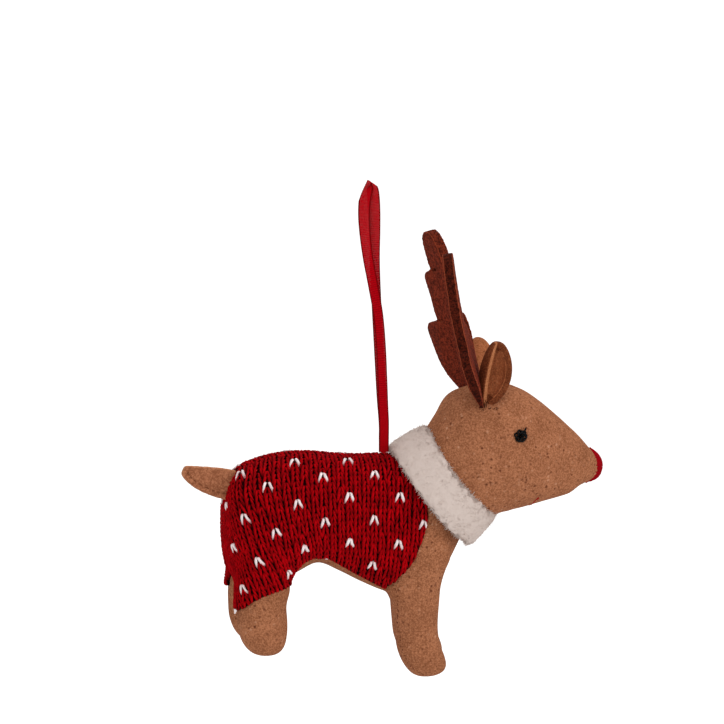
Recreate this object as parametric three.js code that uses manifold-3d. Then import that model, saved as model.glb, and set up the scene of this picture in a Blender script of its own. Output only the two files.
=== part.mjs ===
// A hanging reindeer ornament: stuffed felt torso, head and legs, a knitted sweater, a fleece collar,
// felt ears, tail and antlers, and a ribbon loop sewn into the spine seam.
// Millimetres. +X runs to the nose, +Y to the animal's left, +Z up.
// The origin is the inside of the ribbon's top fold, the point the ornament hangs by.
import * as THREE from 'three';
import { mergeVertices } from 'three/addons/utils/BufferGeometryUtils.js';
import Module from 'manifold-3d';

const wasm = await Module();
wasm.setup();

// Felt, knit, fill and sewing
const feltThickness = 1.3;
const knitThickness = 1.5;
const gap = 0.3;
const weldDistance = 0.0003;
const sectionPower = 2.3;
const roundSides = 20;
const limbSides = 14;
const threadSides = 6;

// Torso
const torsoLength = 75;
const torsoHeight = 41;
const torsoWidth = 31;
const rumpDistance = 49.9;

// Head
const headLength = 55.7;
const headHeight = 41;
const headWidth = 31;
const crownHeight = 20.1;

// Legs
const frontLegLength = 35.3;
const frontLegDepth = 14.4;
const frontLegWidth = 14;
const leftFrontLegShift = 3.2;
const rearLegLength = 26.4;
const rearLegDepth = 16.2;
const rearLegWidth = 14.6;
const legSpacing = 2;

// Tail, ears and antlers
const tailLength = 16.5;
const tailHeight = 9.3;
const tailFelt = 1.4;
const tailTipDepth = 3.6;
const earHeight = 19;
const earWidth = 18;
const earFelt = 1.6;
const earCupRadius = 5.2;
const rightEarSplayDeg = 10;
const leftEarSplayDeg = 62;
const earLeanDeg = 6;
const antlerHeight = 52.4;
const antlerReach = 25;
const antlerFelt = 2.6;
const antlerLeanDeg = 11.2;
const antlerSplayDeg = 0.5;
const antlerTurnDeg = 12;

// Sweater, collar, nose, eyes and mouth
const slitHeight = 14;
const slitWidth = 5;
const collarWidth = 12.8;
const collarThickness = 3.4;
const collarTiltDeg = 38.5;
const collarRearRadius = 20.9;
const collarFrontRadius = 18.5;
const collarSideShare = 0.9;
const collarSag = 2.4;
const noseThickness = 0.6;
const noseDepth = 4.6;
const eyeRadius = 2;
const threadRadius = 0.35;

// Ribbon
const ribbonWidth = 3.1;
const ribbonThickness = 0.35;
const ribbonEndThickness = 0.5;
const ribbonEndHeight = 8.6;
const ribbonHeight = 85;
const ribbonLean = 4.8;
const strandParting = 3;

// Longer than any piece, for cuts that run right through
const beyond = 2 * (torsoLength + headLength);

const deg = (angle) => THREE.MathUtils.degToRad(angle);

// A closed solid from a geometry.
function solid(geometry) {
  const bare = geometry.clone();
  bare.deleteAttribute('normal');
  bare.deleteAttribute('uv');
  const merged = mergeVertices(bare, weldDistance);
  const mesh = new wasm.Mesh({
    numProp: 3,
    vertProperties: new Float32Array(merged.attributes.position.array),
    triVerts: new Uint32Array(merged.index.array),
  });
  return new wasm.Manifold(mesh);
}

// A geometry from a solid, for a mesh.
function geometryOf(made) {
  const mesh = made.getMesh();
  const geometry = new THREE.BufferGeometry();
  const points = new Float32Array(mesh.numVert * 3);
  for (let i = 0; i < mesh.numVert; i += 1) {
    for (let k = 0; k < 3; k += 1) points[i * 3 + k] = mesh.vertProperties[i * mesh.numProp + k];
  }
  geometry.setAttribute('position', new THREE.BufferAttribute(points, 3));
  geometry.setIndex(new THREE.BufferAttribute(new Uint32Array(mesh.triVerts), 1));
  geometry.computeVertexNormals();
  return geometry;
}

// The same form, every point moved out along its normal, or in where the distance is negative.
function grown(form, distance) {
  const out = form.clone();
  out.computeVertexNormals();
  const { position, normal } = out.attributes;
  for (let i = 0; i < position.count; i += 1) {
    position.setXYZ(
      i,
      position.getX(i) + distance * normal.getX(i),
      position.getY(i) + distance * normal.getY(i),
      position.getZ(i) + distance * normal.getZ(i),
    );
  }
  return out;
}

// The same form on the animal's other side.
function mirrored(form) {
  const out = form.clone();
  out.scale(1, -1, 1);
  const order = out.index.array;
  for (let i = 0; i < order.length; i += 3) [order[i + 1], order[i + 2]] = [order[i + 2], order[i + 1]];
  return out;
}

// A closed skin over rings of points, drawn to a point at each end.
function skinOver(first, rings, last) {
  const sides = rings[0].length;
  const points = [first, ...rings.flat(), last];
  const end = points.length - 1;
  const at = (ring, side) => 1 + ring * sides + (side % sides);
  const faces = [];
  for (let side = 0; side < sides; side += 1) {
    faces.push(0, at(0, side + 1), at(0, side));
    for (let ring = 0; ring < rings.length - 1; ring += 1) {
      faces.push(at(ring, side), at(ring, side + 1), at(ring + 1, side + 1));
      faces.push(at(ring, side), at(ring + 1, side + 1), at(ring + 1, side));
    }
    faces.push(end, at(rings.length - 1, side), at(rings.length - 1, side + 1));
  }
  const geometry = new THREE.BufferGeometry().setFromPoints(points);
  geometry.setIndex(faces);
  return geometry;
}

// A point on a rounded section: the unit shape between a circle and a square.
function onSection(angle) {
  const round = (value) => Math.sign(value) * Math.abs(value) ** (2 / sectionPower);
  return [round(Math.cos(angle)), round(Math.sin(angle))];
}

// A stuffed form that runs along X. Each row is x, top, bottom, half width and the lean of its
// section back from upright; the first and last rows are the end points.
function stuffedForm(rows) {
  const rings = rows.slice(1, -1).map(([x, top, bottom, half, lean]) =>
    Array.from({ length: roundSides }, (_, i) => {
      const [across, up] = onSection((i / roundSides) * 2 * Math.PI);
      const middle = (top + bottom) / 2;
      const rise = (up * (top - bottom)) / 2;
      return new THREE.Vector3(x - rise * Math.sin(lean), across * half, middle + rise * Math.cos(lean));
    }),
  );
  const ends = [rows[0], rows[rows.length - 1]].map(([x, height]) => new THREE.Vector3(x, 0, height));
  return skinOver(ends[0], rings, ends[1]);
}

// A stuffed leg that runs down from inside the torso. Each row is height, middle, half depth and
// half width; the first and last rows are the end points.
function legForm(rows, middleY) {
  const rings = rows.slice(1, -1).map(([z, x, halfDepth, halfWidth]) =>
    Array.from({ length: limbSides }, (_, i) => {
      const [along, across] = onSection((-i / limbSides) * 2 * Math.PI);
      return new THREE.Vector3(x + along * halfDepth, middleY + across * halfWidth, z);
    }),
  );
  const ends = [rows[0], rows[rows.length - 1]].map(([z, x]) => new THREE.Vector3(x, middleY, z));
  return skinOver(ends[0], rings, ends[1]);
}

// A bent or flat sheet between two grids of points.
function slab(front, back) {
  const rows = front.length;
  const columns = front[0].length;
  const points = [...front.flat(), ...back.flat()];
  const at = (row, column, face) => face * rows * columns + row * columns + column;
  const faces = [];
  const quad = (a, b, c, d) => faces.push(a, b, c, a, c, d);
  for (let i = 0; i < rows - 1; i += 1) {
    for (let j = 0; j < columns - 1; j += 1) {
      quad(at(i, j, 0), at(i, j + 1, 0), at(i + 1, j + 1, 0), at(i + 1, j, 0));
      quad(at(i, j, 1), at(i + 1, j, 1), at(i + 1, j + 1, 1), at(i, j + 1, 1));
    }
    quad(at(i, 0, 0), at(i + 1, 0, 0), at(i + 1, 0, 1), at(i, 0, 1));
    const last = columns - 1;
    quad(at(i, last, 0), at(i, last, 1), at(i + 1, last, 1), at(i + 1, last, 0));
  }
  for (let j = 0; j < columns - 1; j += 1) {
    quad(at(0, j, 0), at(0, j, 1), at(0, j + 1, 1), at(0, j + 1, 0));
    quad(at(rows - 1, j, 0), at(rows - 1, j + 1, 0), at(rows - 1, j + 1, 1), at(rows - 1, j, 1));
  }
  const geometry = new THREE.BufferGeometry().setFromPoints(points);
  geometry.setIndex(faces);
  return geometry;
}

// An outline drawn in X and Z, thickened evenly to both sides of a plane Y = middleY.
function sidePanel(outline, thickness, middleY = 0) {
  const shape = new THREE.Shape(outline.map(([x, z]) => new THREE.Vector2(x, z)));
  const geometry = new THREE.ExtrudeGeometry(shape, { depth: thickness, bevelEnabled: false });
  geometry.rotateX(Math.PI / 2);
  geometry.translate(0, middleY + thickness / 2, 0);
  return geometry;
}

// A box between two corners.
function block(low, high) {
  const size = high.map((value, k) => value - low[k]);
  const geometry = new THREE.BoxGeometry(...size);
  geometry.translate(...low.map((value, k) => value + size[k] / 2));
  return solid(geometry);
}

// Where a straight line first meets a form.
function meet(form, from, direction) {
  const target = new THREE.Mesh(form, new THREE.MeshBasicMaterial({ side: THREE.DoubleSide }));
  return new THREE.Raycaster(from, direction.clone().normalize()).intersectObject(target)[0].point;
}

// Torso: along, top and bottom (down from the spine line) and half width, as shares of its sizes
const torsoShares = [
  [0, 0.49],
  [0.016, 0.212, 0.77, 0.6],
  [0.052, 0.068, 0.92, 0.8],
  [0.109, 0.012, 0.968, 0.93],
  [0.202, -0.032, 0.92, 1],
  [0.295, -0.046, 0.834, 1],
  [0.375, -0.037, 0.773, 0.99],
  [0.468, -0.015, 0.85, 0.97],
  [0.561, -0.002, 0.945, 0.97],
  [0.668, 0, 1.035, 0.97],
  [0.761, 0.02, 1.06, 0.95],
  [0.84, 0.066, 1.01, 0.88],
  [0.907, 0.151, 0.88, 0.75],
  [0.96, 0.261, 0.72, 0.5],
  [0.99, 0.37, 0.61, 0.26],
  [1, 0.468],
];
const spineLine = -(knitThickness + gap);
const torsoX = (share) => share * torsoLength - rumpDistance;
const torsoZ = (share) => spineLine - share * torsoHeight;
const torsoForm = stuffedForm(
  torsoShares.map(([along, top, bottom = 0, half = 0]) => [
    torsoX(along),
    torsoZ(top),
    torsoZ(bottom),
    (half * torsoWidth) / 2,
    0,
  ]),
);

// Head: along, top and bottom (down from the crown), half width, as shares, and the section's lean
const headShares = [
  [0, 0.84],
  [0.01, 0.54, 1.15, 0.78, 40],
  [0.2, 0.235, 1.03, 0.93, 38],
  [0.251, 0.1, 1.03, 0.98, 29],
  [0.3, -0.005, 0.985, 1, 22],
  [0.435, 0.002, 0.97, 1, 5],
  [0.545, 0.06, 0.94, 0.93, 0],
  [0.65, 0.16, 0.905, 0.8, 0],
  [0.777, 0.317, 0.865, 0.58, 0],
  [0.875, 0.447, 0.81, 0.39, 0],
  [0.947, 0.565, 0.75, 0.23, 0],
  [0.984, 0.622, 0.715, 0.14, 0],
  [1, 0.665],
];
const neckShare = 0.839;
const headX = (share) => torsoX(neckShare) + share * headLength;
const headZ = (share) => crownHeight - share * headHeight;
const headForm = stuffedForm(
  headShares.map(([along, top, bottom = 0, half = 0, lean = 0]) => [
    headX(along),
    headZ(top),
    headZ(bottom),
    (half * headWidth) / 2,
    deg(lean),
  ]),
);

// Legs: down from the top of the leg, middle forward of the leg's own middle, half depth and half
// width, as shares of the leg's sizes; the leg starts inside the torso
const legStartShare = 0.8;
const frontLegShares = [
  [0, 0],
  [0.02, -0.1, 1, 0.8],
  [0.2, -0.05, 1.33, 1],
  [0.36, -0.02, 1.02, 1],
  [0.56, 0.02, 0.92, 0.95],
  [0.72, 0.08, 0.92, 0.92],
  [0.84, 0.19, 0.96, 0.93],
  [0.93, 0.34, 0.8, 0.8],
  [0.98, 0.42, 0.46, 0.5],
  [1, 0.43],
];
const rearLegShares = [
  [0, 0],
  [0.02, 0, 0.9, 0.8],
  [0.2, 0.08, 1, 1],
  [0.45, 0.02, 0.98, 1],
  [0.68, 0.02, 0.95, 0.97],
  [0.83, 0.07, 0.84, 0.9],
  [0.93, 0.12, 0.64, 0.72],
  [0.98, 0.15, 0.36, 0.42],
  [1, 0.16],
];
const legTop = torsoZ(legStartShare);
const frontLegMiddle = torsoX(0.78);
const rearLegMiddle = torsoX(0.132);
function leg(shares, length, depth, width, middleX) {
  const rows = shares.map(([down, ahead, halfDepth = 0, halfWidth = 0]) => [
    legTop - down * length,
    middleX + ahead * (depth / 2),
    halfDepth * (depth / 2),
    halfWidth * (width / 2),
  ]);
  return legForm(rows, -(legSpacing + width) / 2);
}
const frontLeg = (middle) => leg(frontLegShares, frontLegLength, frontLegDepth, frontLegWidth, middle);
const rearLeg = leg(rearLegShares, rearLegLength, rearLegDepth, rearLegWidth, rearLegMiddle);
const legForms = {
  front_leg_right: frontLeg(frontLegMiddle),
  front_leg_left: mirrored(frontLeg(frontLegMiddle + leftFrontLegShift)),
  rear_leg_right: rearLeg,
  rear_leg_left: mirrored(rearLeg),
};
const frontLegs = [legForms.front_leg_left, legForms.front_leg_right];
const rearLegs = [legForms.rear_leg_left, legForms.rear_leg_right];

const deer = new THREE.Group();
const ribbon = new THREE.Group();

// Adds a finished piece to its group, in its own material.
function add(group, name, made, look) {
  const mesh = new THREE.Mesh(geometryOf(made), new THREE.MeshStandardMaterial(look));
  mesh.name = name;
  group.add(mesh);
}

const tanFelt = { color: 0x9e6a49, roughness: 0.95 };
const brownFelt = { color: 0x6a2a1a, roughness: 0.95 };
const fill = { color: 0xe8e2d6, roughness: 1 };
const redYarn = { color: 0x8c0a14, roughness: 0.95 };
const fleece = { color: 0xd2c4b9, roughness: 1 };
const redThread = { color: 0xa01420, roughness: 0.85 };
const blackThread = { color: 0x14100e, roughness: 0.6 };
const redOrganza = { color: 0xa5101e, roughness: 0.5 };

// The felt skin of a form, hollow, with its neighbours' room cut away.
function skinOf(form) {
  return solid(form).subtract(solid(grown(form, -feltThickness)));
}

// What is on one side of the seam down the middle.
function side(made, sign) {
  const low = [-beyond, sign > 0 ? gap / 2 : -beyond, -beyond];
  const high = [beyond, sign > 0 ? beyond : -gap / 2, beyond];
  return made.intersect(block(low, high));
}

// Torso: two side panels, the gusset between the legs, and the fill
const torsoRoom = solid(grown(torsoForm, gap));
const gussetHalfShare = 0.2;
const gussetHalf = gussetHalfShare * torsoWidth;
const gussetStartShare = 0.06;
const gussetEndShare = 0.86;
const gussetTopShare = 0.6;
function gussetBlock(clearance) {
  return block(
    [torsoX(gussetStartShare) - clearance, -gussetHalf - clearance, -beyond],
    [torsoX(gussetEndShare) + clearance, gussetHalf + clearance, torsoZ(gussetTopShare) + clearance],
  );
}
const torsoSkin = skinOf(torsoForm);
const torsoSides = torsoSkin.subtract(gussetBlock(gap));
add(deer, 'torso_felt_left', side(torsoSides, 1), tanFelt);
add(deer, 'torso_felt_right', side(torsoSides, -1), tanFelt);
add(deer, 'belly_gusset', torsoSkin.intersect(gussetBlock(0)), tanFelt);
add(deer, 'torso_stuffing', solid(grown(torsoForm, -(feltThickness + gap))), fill);

// Head: two side panels seamed down the middle, and the fill, both open to the torso at the neck
const headSkin = skinOf(headForm).subtract(torsoRoom);
const headRoom = solid(grown(headForm, gap));
add(deer, 'head_felt_left', side(headSkin, 1), tanFelt);
add(deer, 'head_felt_right', side(headSkin, -1), tanFelt);
const headFill = solid(grown(headForm, -(feltThickness + gap))).subtract(torsoRoom);
add(deer, 'head_stuffing', headFill, fill);

// Legs: a felt sock and its fill, both open to the torso at the top
for (const [name, form] of Object.entries(legForms)) {
  add(deer, `${name}_felt`, skinOf(form).subtract(torsoRoom), tanFelt);
  const inside = solid(grown(form, -(feltThickness + gap)));
  add(deer, `${name}_stuffing`, inside.subtract(torsoRoom), fill);
}

// Tail: two felt leaves sewn flat on each other, caught in the rear seam. Along and up shares of
// its sizes, from the root
const tailShares = [
  [0, -0.1],
  [0, -0.98],
  [0.3, -0.95],
  [0.62, -0.75],
  [0.88, -0.47],
  [0.985, -0.26],
  [1, -0.06],
  [0.96, 0.12],
  [0.88, 0.2],
  [0.6, 0.15],
  [0.3, 0.06],
];
const tailRootShare = 0.045;
const tailMidlineShare = -0.3;
function tailOutline(clearance) {
  return tailShares.map(([along, up]) => [
    torsoX(tailRootShare) - along * tailLength + (along > 0 ? -clearance : clearance),
    up * tailHeight - tailTipDepth + (up > tailMidlineShare ? clearance : -clearance),
  ]);
}
const tailMiddle = (tailFelt + gap) / 2;
for (const [name, sign] of [['tail_layer_left', 1], ['tail_layer_right', -1]]) {
  const leaf = solid(sidePanel(tailOutline(0), tailFelt, sign * tailMiddle));
  add(deer, name, leaf.subtract(torsoRoom), tanFelt);
}
const tailRoom = solid(sidePanel(tailOutline(gap), 2 * tailFelt + 3 * gap));

// Sweater: a knitted saddle over the torso and thighs. Its lower edge on each flank, from the front
// edge under the collar round to the rear hem, along and down in shares of the torso's sizes
const sweaterShares = [
  [0.745, -0.4],
  [0.745, -0.1],
  [0.775, 0.07],
  [0.808, 0.24],
  [0.816, 0.39],
  [0.798, 0.5],
  [0.768, 0.656],
  [0.733, 0.773],
  [0.676, 0.892],
  [0.64, 0.97],
  [0.496, 0.817],
  [0.406, 0.71],
  [0.336, 0.693],
  [0.298, 0.72],
  [0.272, 0.78],
  [0.25, 0.84],
  [0.24, 0.87],
  [0.025, 1.03],
  [-0.1, 1.03],
  [-0.1, -0.4],
];
const sweaterOutline = sweaterShares.map(([along, down]) => [torsoX(along), torsoZ(down)]);
const knitOut = gap + knitThickness;
function sweaterRoom(extra) {
  const over = [torsoForm, ...rearLegs].map((form) => solid(grown(form, knitOut + extra)));
  const flank = solid(sidePanel(sweaterOutline, 2 * torsoWidth));
  return over[0].add(over[1]).add(over[2]).intersect(flank.translate([extra, 0, 0]));
}
const slitEndShare = 0.1;
const slitFoot = torsoZ(1) - knitThickness;
const slitApex = torsoZ(1) + slitHeight - knitOut;
const slitShape = new THREE.Shape([
  new THREE.Vector2(0, slitApex),
  new THREE.Vector2(-slitWidth / 2, slitFoot),
  new THREE.Vector2(slitWidth / 2, slitFoot),
]);
const slitDepth = torsoX(slitEndShare) + torsoLength;
const slitCut = new THREE.ExtrudeGeometry(slitShape, { depth: slitDepth, bevelEnabled: false });
slitCut.rotateX(Math.PI / 2);
slitCut.rotateZ(Math.PI / 2);
slitCut.translate(-torsoLength, 0, 0);
const thighShare = 0.8;
const thighMiddle = (legSpacing + rearLegWidth) / 2;
const betweenThighs = block(
  [rearLegMiddle - rearLegDepth / 2 + knitOut, -thighMiddle, -beyond],
  [rearLegMiddle + rearLegDepth, thighMiddle, torsoZ(thighShare)],
);
let sweater = sweaterRoom(0).subtract(torsoRoom).subtract(headRoom).subtract(tailRoom);
for (const form of [...frontLegs, ...rearLegs]) sweater = sweater.subtract(solid(grown(form, gap)));
sweater = sweater.subtract(solid(slitCut)).subtract(betweenThighs);
add(deer, 'knitted_sweater', sweater, redYarn);

// Collar: a fleece band round the neck, wider where it lies on the shoulders. Its section runs
// round from the body side, as shares of its width along the neck and of its thickness outwards
const collarAlongShare = 0.92;
const collarDownShare = 0.217;
const collarShares = [
  [-0.5, 0.2],
  [-0.5, 0.75],
  [-0.4, 1],
  [0.38, 1],
  [0.5, 0.75],
  [0.5, 0.2],
  [0.4, 0],
  [-0.4, 0],
  [-0.5, 0.2],
];
const collarProfile = collarShares.map(([along, out]) => {
  const outer = THREE.MathUtils.lerp(collarRearRadius, collarFrontRadius, along + 1 / 2);
  return new THREE.Vector2(outer - collarThickness + out * collarThickness, along * collarWidth);
});
const collarRing = new THREE.LatheGeometry(collarProfile, 2 * roundSides);
const ringPoints = collarRing.attributes.position;
for (let i = 0; i < ringPoints.count; i += 1) {
  const toSide = ringPoints.getZ(i) / collarRearRadius;
  ringPoints.setY(i, ringPoints.getY(i) - collarSag * toSide ** 2);
}
const neckLine = new THREE.Vector3(Math.cos(deg(collarTiltDeg)), 0, Math.sin(deg(collarTiltDeg)));
const acrossNeck = new THREE.Vector3(0, 1, 0);
const upFromNeck = new THREE.Vector3().crossVectors(neckLine, acrossNeck);
collarRing.scale(1, 1, collarSideShare);
collarRing.applyMatrix4(new THREE.Matrix4().makeBasis(upFromNeck, neckLine, acrossNeck));
collarRing.translate(torsoX(collarAlongShare), 0, torsoZ(collarDownShare));
let collar = solid(collarRing).subtract(torsoRoom).subtract(headRoom).subtract(sweaterRoom(gap));
for (const form of frontLegs) collar = collar.subtract(solid(grown(form, gap)));
add(deer, 'fleece_collar', collar, fleece);

// Nose: a red wrapping over the tip of the muzzle
const noseStart = headX(1) - noseDepth;
const noseRoom = block([noseStart, -beyond, -beyond], [beyond, beyond, beyond]);
const nose = solid(grown(headForm, gap + noseThickness)).subtract(headRoom).intersect(noseRoom);
add(deer, 'nose_cap', nose, redThread);

// Eyes: a black thread knot on each side of the head
const eyeAlongShare = 0.5;
const eyeDownShare = 0.356;
for (const [name, sign] of [['eye_left', 1], ['eye_right', -1]]) {
  const from = new THREE.Vector3(headX(eyeAlongShare), sign * headWidth, headZ(eyeDownShare));
  const seat = meet(headForm, from, new THREE.Vector3(0, -sign, 0));
  const knot = new THREE.SphereGeometry(eyeRadius, limbSides, limbSides / 2);
  knot.translate(...seat);
  add(deer, name, solid(knot).subtract(headRoom), blackThread);
}

// Mouth: one red stitch that runs round under the muzzle
const mouthAlongShare = 0.607;
const mouthAcrossShares = [-0.2, -0.12, -0.04, 0.04, 0.12, 0.2];
const mouthSteps = 16;
const mouthPoints = mouthAcrossShares.map((across) => {
  const from = new THREE.Vector3(headX(mouthAlongShare), across * headWidth, -headHeight);
  const seat = meet(headForm, from, new THREE.Vector3(0, 0, 1));
  return seat.setZ(seat.z - gap - threadRadius);
});
const threadShape = new THREE.Shape().absarc(0, 0, threadRadius, 0, 2 * Math.PI);
const mouth = new THREE.ExtrudeGeometry(threadShape, {
  steps: mouthSteps,
  curveSegments: threadSides,
  bevelEnabled: false,
  extrudePath: new THREE.CatmullRomCurve3(mouthPoints),
});
add(deer, 'mouth_stitch', solid(mouth), redThread);

// Ears: a felt petal curled round an upright cylinder, open towards the nose. Each share of the
// height has its share of the half width
const earShares = [
  [0, 0.42],
  [0.12, 0.56],
  [0.3, 0.82],
  [0.48, 0.98],
  [0.64, 1],
  [0.78, 0.9],
  [0.88, 0.72],
  [0.95, 0.5],
  [0.99, 0.26],
  [1, 0.1],
];
const earAcross = 8;
const earAlongShare = 0.39;
const earDownShare = 0.02;
const earOutShare = 0.68;
const earOpeningDeg = 24;
function earForm(splay) {
  const grid = (radius) =>
    earShares.map(([up, half]) =>
      Array.from({ length: earAcross + 1 }, (_, j) => {
        const bend = (((2 * j) / earAcross - 1) * half * (earWidth / 2)) / earCupRadius;
        return new THREE.Vector3(-radius * Math.cos(bend), radius * Math.sin(bend), up * earHeight);
      }),
    );
  const form = slab(grid(earCupRadius - earFelt / 2), grid(earCupRadius + earFelt / 2));
  form.rotateZ(-deg(earOpeningDeg));
  form.rotateY(deg(earLeanDeg));
  form.rotateX(deg(splay));
  form.translate(headX(earAlongShare), (-earOutShare * headWidth) / 2, headZ(earDownShare) - earFelt);
  return form;
}
const earForms = { ear_left: mirrored(earForm(leftEarSplayDeg)), ear_right: earForm(rightEarSplayDeg) };
for (const [name, form] of Object.entries(earForms)) {
  add(deer, name, solid(form).subtract(headRoom), tanFelt);
}

// Antlers: thick felt with two outer prongs, one inner prong and a rounded tip, as shares of the
// reach (outwards) and the height
const antlerShares = [
  [-0.13, -0.06],
  [0.16, -0.06],
  [0.29, 0.02],
  [0.48, 0.15],
  [0.64, 0.285],
  [0.63, 0.335],
  [0.53, 0.37],
  [0.36, 0.362],
  [0.41, 0.46],
  [0.49, 0.62],
  [0.45, 0.67],
  [0.33, 0.69],
  [0.26, 0.68],
  [0.34, 0.76],
  [0.41, 0.86],
  [0.36, 0.92],
  [0.2, 0.953],
  [0.02, 0.948],
  [-0.12, 0.9],
  [-0.175, 0.84],
  [-0.16, 0.7],
  [-0.14, 0.57],
  [-0.2, 0.55],
  [-0.3, 0.53],
  [-0.35, 0.49],
  [-0.32, 0.4],
  [-0.22, 0.22],
  [-0.15, 0.07],
];
const antlerAlongShare = 0.265;
const antlerDownShare = 0.05;
const antlerOutShare = 0.6;
const antlerShape = new THREE.Shape(
  antlerShares.map(([out, up]) => new THREE.Vector2(out * antlerReach, up * antlerHeight)),
);
const rightAntler = new THREE.ExtrudeGeometry(antlerShape, { depth: antlerFelt, bevelEnabled: false });
rightAntler.translate(0, 0, -antlerFelt / 2);
const [leanBack, leanOut] = [antlerLeanDeg, antlerSplayDeg].map((angle) => Math.tan(deg(angle)));
const stem = new THREE.Vector3(-leanBack, -leanOut, 1).normalize();
const turned = new THREE.Vector3(-Math.sin(deg(antlerTurnDeg)), -Math.cos(deg(antlerTurnDeg)), 0);
const antlerNormal = new THREE.Vector3().crossVectors(turned, stem).normalize();
const outwards = new THREE.Vector3().crossVectors(stem, antlerNormal);
rightAntler.applyMatrix4(new THREE.Matrix4().makeBasis(outwards, stem, antlerNormal));
rightAntler.translate(headX(antlerAlongShare), (-antlerOutShare * headWidth) / 2, headZ(antlerDownShare));
const antlerForms = { antler_left: mirrored(mergeVertices(rightAntler)), antler_right: rightAntler };
for (const [name, form] of Object.entries(antlerForms)) {
  const ear = earForms[name.replace('antler', 'ear')];
  const made = solid(form).subtract(headRoom).subtract(solid(grown(ear, gap)));
  add(deer, name, made, brownFelt);
}

// Ribbon loop: its middle line from where the strands part, up the right strand, over the fold and
// down the left one, as shares of the lean back, of half the parting and of the loop's height
const loopShares = [
  [0, -0.267, 0],
  [0.062, -0.4, 0.105],
  [0.125, -0.667, 0.235],
  [0.208, -0.867, 0.392],
  [0.542, -1, 0.549],
  [1.042, -1, 0.706],
  [1.271, -0.867, 0.824],
  [1.312, -0.667, 0.915],
  [1.208, -0.4, 0.975],
  [1, 0, 1],
  [0.688, 0.467, 0.98],
  [0.583, 0.733, 0.928],
  [0.667, 0.933, 0.824],
  [0.604, 1, 0.654],
  [0.458, 1, 0.471],
  [0.292, 0.8, 0.288],
  [0.125, 0.533, 0.131],
  [0, 0.267, 0],
];
const loopSteps = 46;
const loopStart = gap + ribbonEndHeight + gap;
const loopHeight = ribbonHeight + ribbonThickness / 2 - loopStart;
const loopLine = new THREE.CatmullRomCurve3(
  loopShares.map(
    ([back, across, up]) =>
      new THREE.Vector3(-back * ribbonLean, (across * strandParting) / 2, loopStart + up * loopHeight),
  ),
);
function ribbonSection(width, thickness) {
  const bend = thickness / 2;
  const x = width / 2;
  return new THREE.Shape([
    new THREE.Vector2(x, 0),
    new THREE.Vector2(x - bend, bend),
    new THREE.Vector2(0, bend),
    new THREE.Vector2(bend - x, bend),
    new THREE.Vector2(-x, 0),
    new THREE.Vector2(bend - x, -bend),
    new THREE.Vector2(0, -bend),
    new THREE.Vector2(x - bend, -bend),
  ]);
}
const loop = new THREE.ExtrudeGeometry(ribbonSection(ribbonWidth, ribbonThickness), {
  steps: loopSteps,
  bevelEnabled: false,
  extrudePath: loopLine,
});
add(ribbon, 'ribbon_loop', solid(loop), redOrganza);

// Ribbon root: the two ends pressed together where they go into the spine seam
const root = new THREE.ExtrudeGeometry(ribbonSection(ribbonWidth, ribbonEndThickness), {
  depth: ribbonEndHeight,
  bevelEnabled: false,
});
root.translate(0, 0, gap);
add(ribbon, 'ribbon_root', solid(root), redOrganza);

const ornament = new THREE.Group();
ornament.add(deer, ribbon);
ornament.position.set(ribbonLean, 0, -ribbonHeight);

export default ornament;
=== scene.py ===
import math

import bmesh
import bpy
import numpy as np
from mathutils import Matrix, Vector, noise
from mathutils.bvhtree import BVHTree


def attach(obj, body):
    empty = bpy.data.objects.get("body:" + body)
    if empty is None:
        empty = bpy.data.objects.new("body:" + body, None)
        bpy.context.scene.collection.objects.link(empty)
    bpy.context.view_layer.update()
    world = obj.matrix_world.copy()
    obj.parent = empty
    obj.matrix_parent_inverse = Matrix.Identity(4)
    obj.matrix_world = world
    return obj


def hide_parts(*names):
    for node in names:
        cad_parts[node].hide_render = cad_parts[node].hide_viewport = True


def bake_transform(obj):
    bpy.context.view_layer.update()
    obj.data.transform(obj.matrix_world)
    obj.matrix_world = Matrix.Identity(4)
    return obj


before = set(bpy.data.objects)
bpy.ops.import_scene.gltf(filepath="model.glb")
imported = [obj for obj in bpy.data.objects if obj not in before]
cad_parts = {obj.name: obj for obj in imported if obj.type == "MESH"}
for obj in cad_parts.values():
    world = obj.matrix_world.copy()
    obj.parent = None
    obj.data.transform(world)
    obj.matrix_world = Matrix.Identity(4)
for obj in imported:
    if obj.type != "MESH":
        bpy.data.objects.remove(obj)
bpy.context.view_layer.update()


# View, light and floor
# The ornament hangs in front of white, lit by large soft lamps, and is seen on its right side from
# a little behind and above, through a long lens.
ribbon_seam = (4.8, 0, -85)


def spots(points):
    """Places in metres, from millimetres ahead of, left of and above the ribbon's seam."""
    return (np.array(points, float) + ribbon_seam) / 1000


def spot(x, y, z):
    """One such place, as a vector."""
    return Vector(spots((x, y, z)))


def in_mm(places):
    """Millimetres about the ribbon's seam, from places in metres."""
    return np.array(places) * 1000 - ribbon_seam


view_azimuth, view_elevation = math.radians(-11), math.radians(13)
view_distance, view_width = 1.6, 0.22444
middle_left_of_seam, middle_above_seam = 0.0068, 0.0279
to_right = Vector((math.cos(view_azimuth), math.sin(view_azimuth), 0))
to_camera = Vector((
    math.sin(view_azimuth) * math.cos(view_elevation),
    -math.cos(view_azimuth) * math.cos(view_elevation),
    math.sin(view_elevation),
))
to_top = to_camera.cross(to_right)
view_middle = spot(0, 0, 0) - to_right * middle_left_of_seam + to_top * middle_above_seam
bpy.ops.object.camera_add(
    location=view_middle + to_camera * view_distance,
    rotation=to_camera.to_track_quat("Z", "Y").to_euler(),
)
camera = bpy.context.object
camera.data.lens = camera.data.sensor_width * view_distance / view_width
bpy.context.scene.camera = camera
bpy.context.scene.view_settings.view_transform = "Standard"

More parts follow.
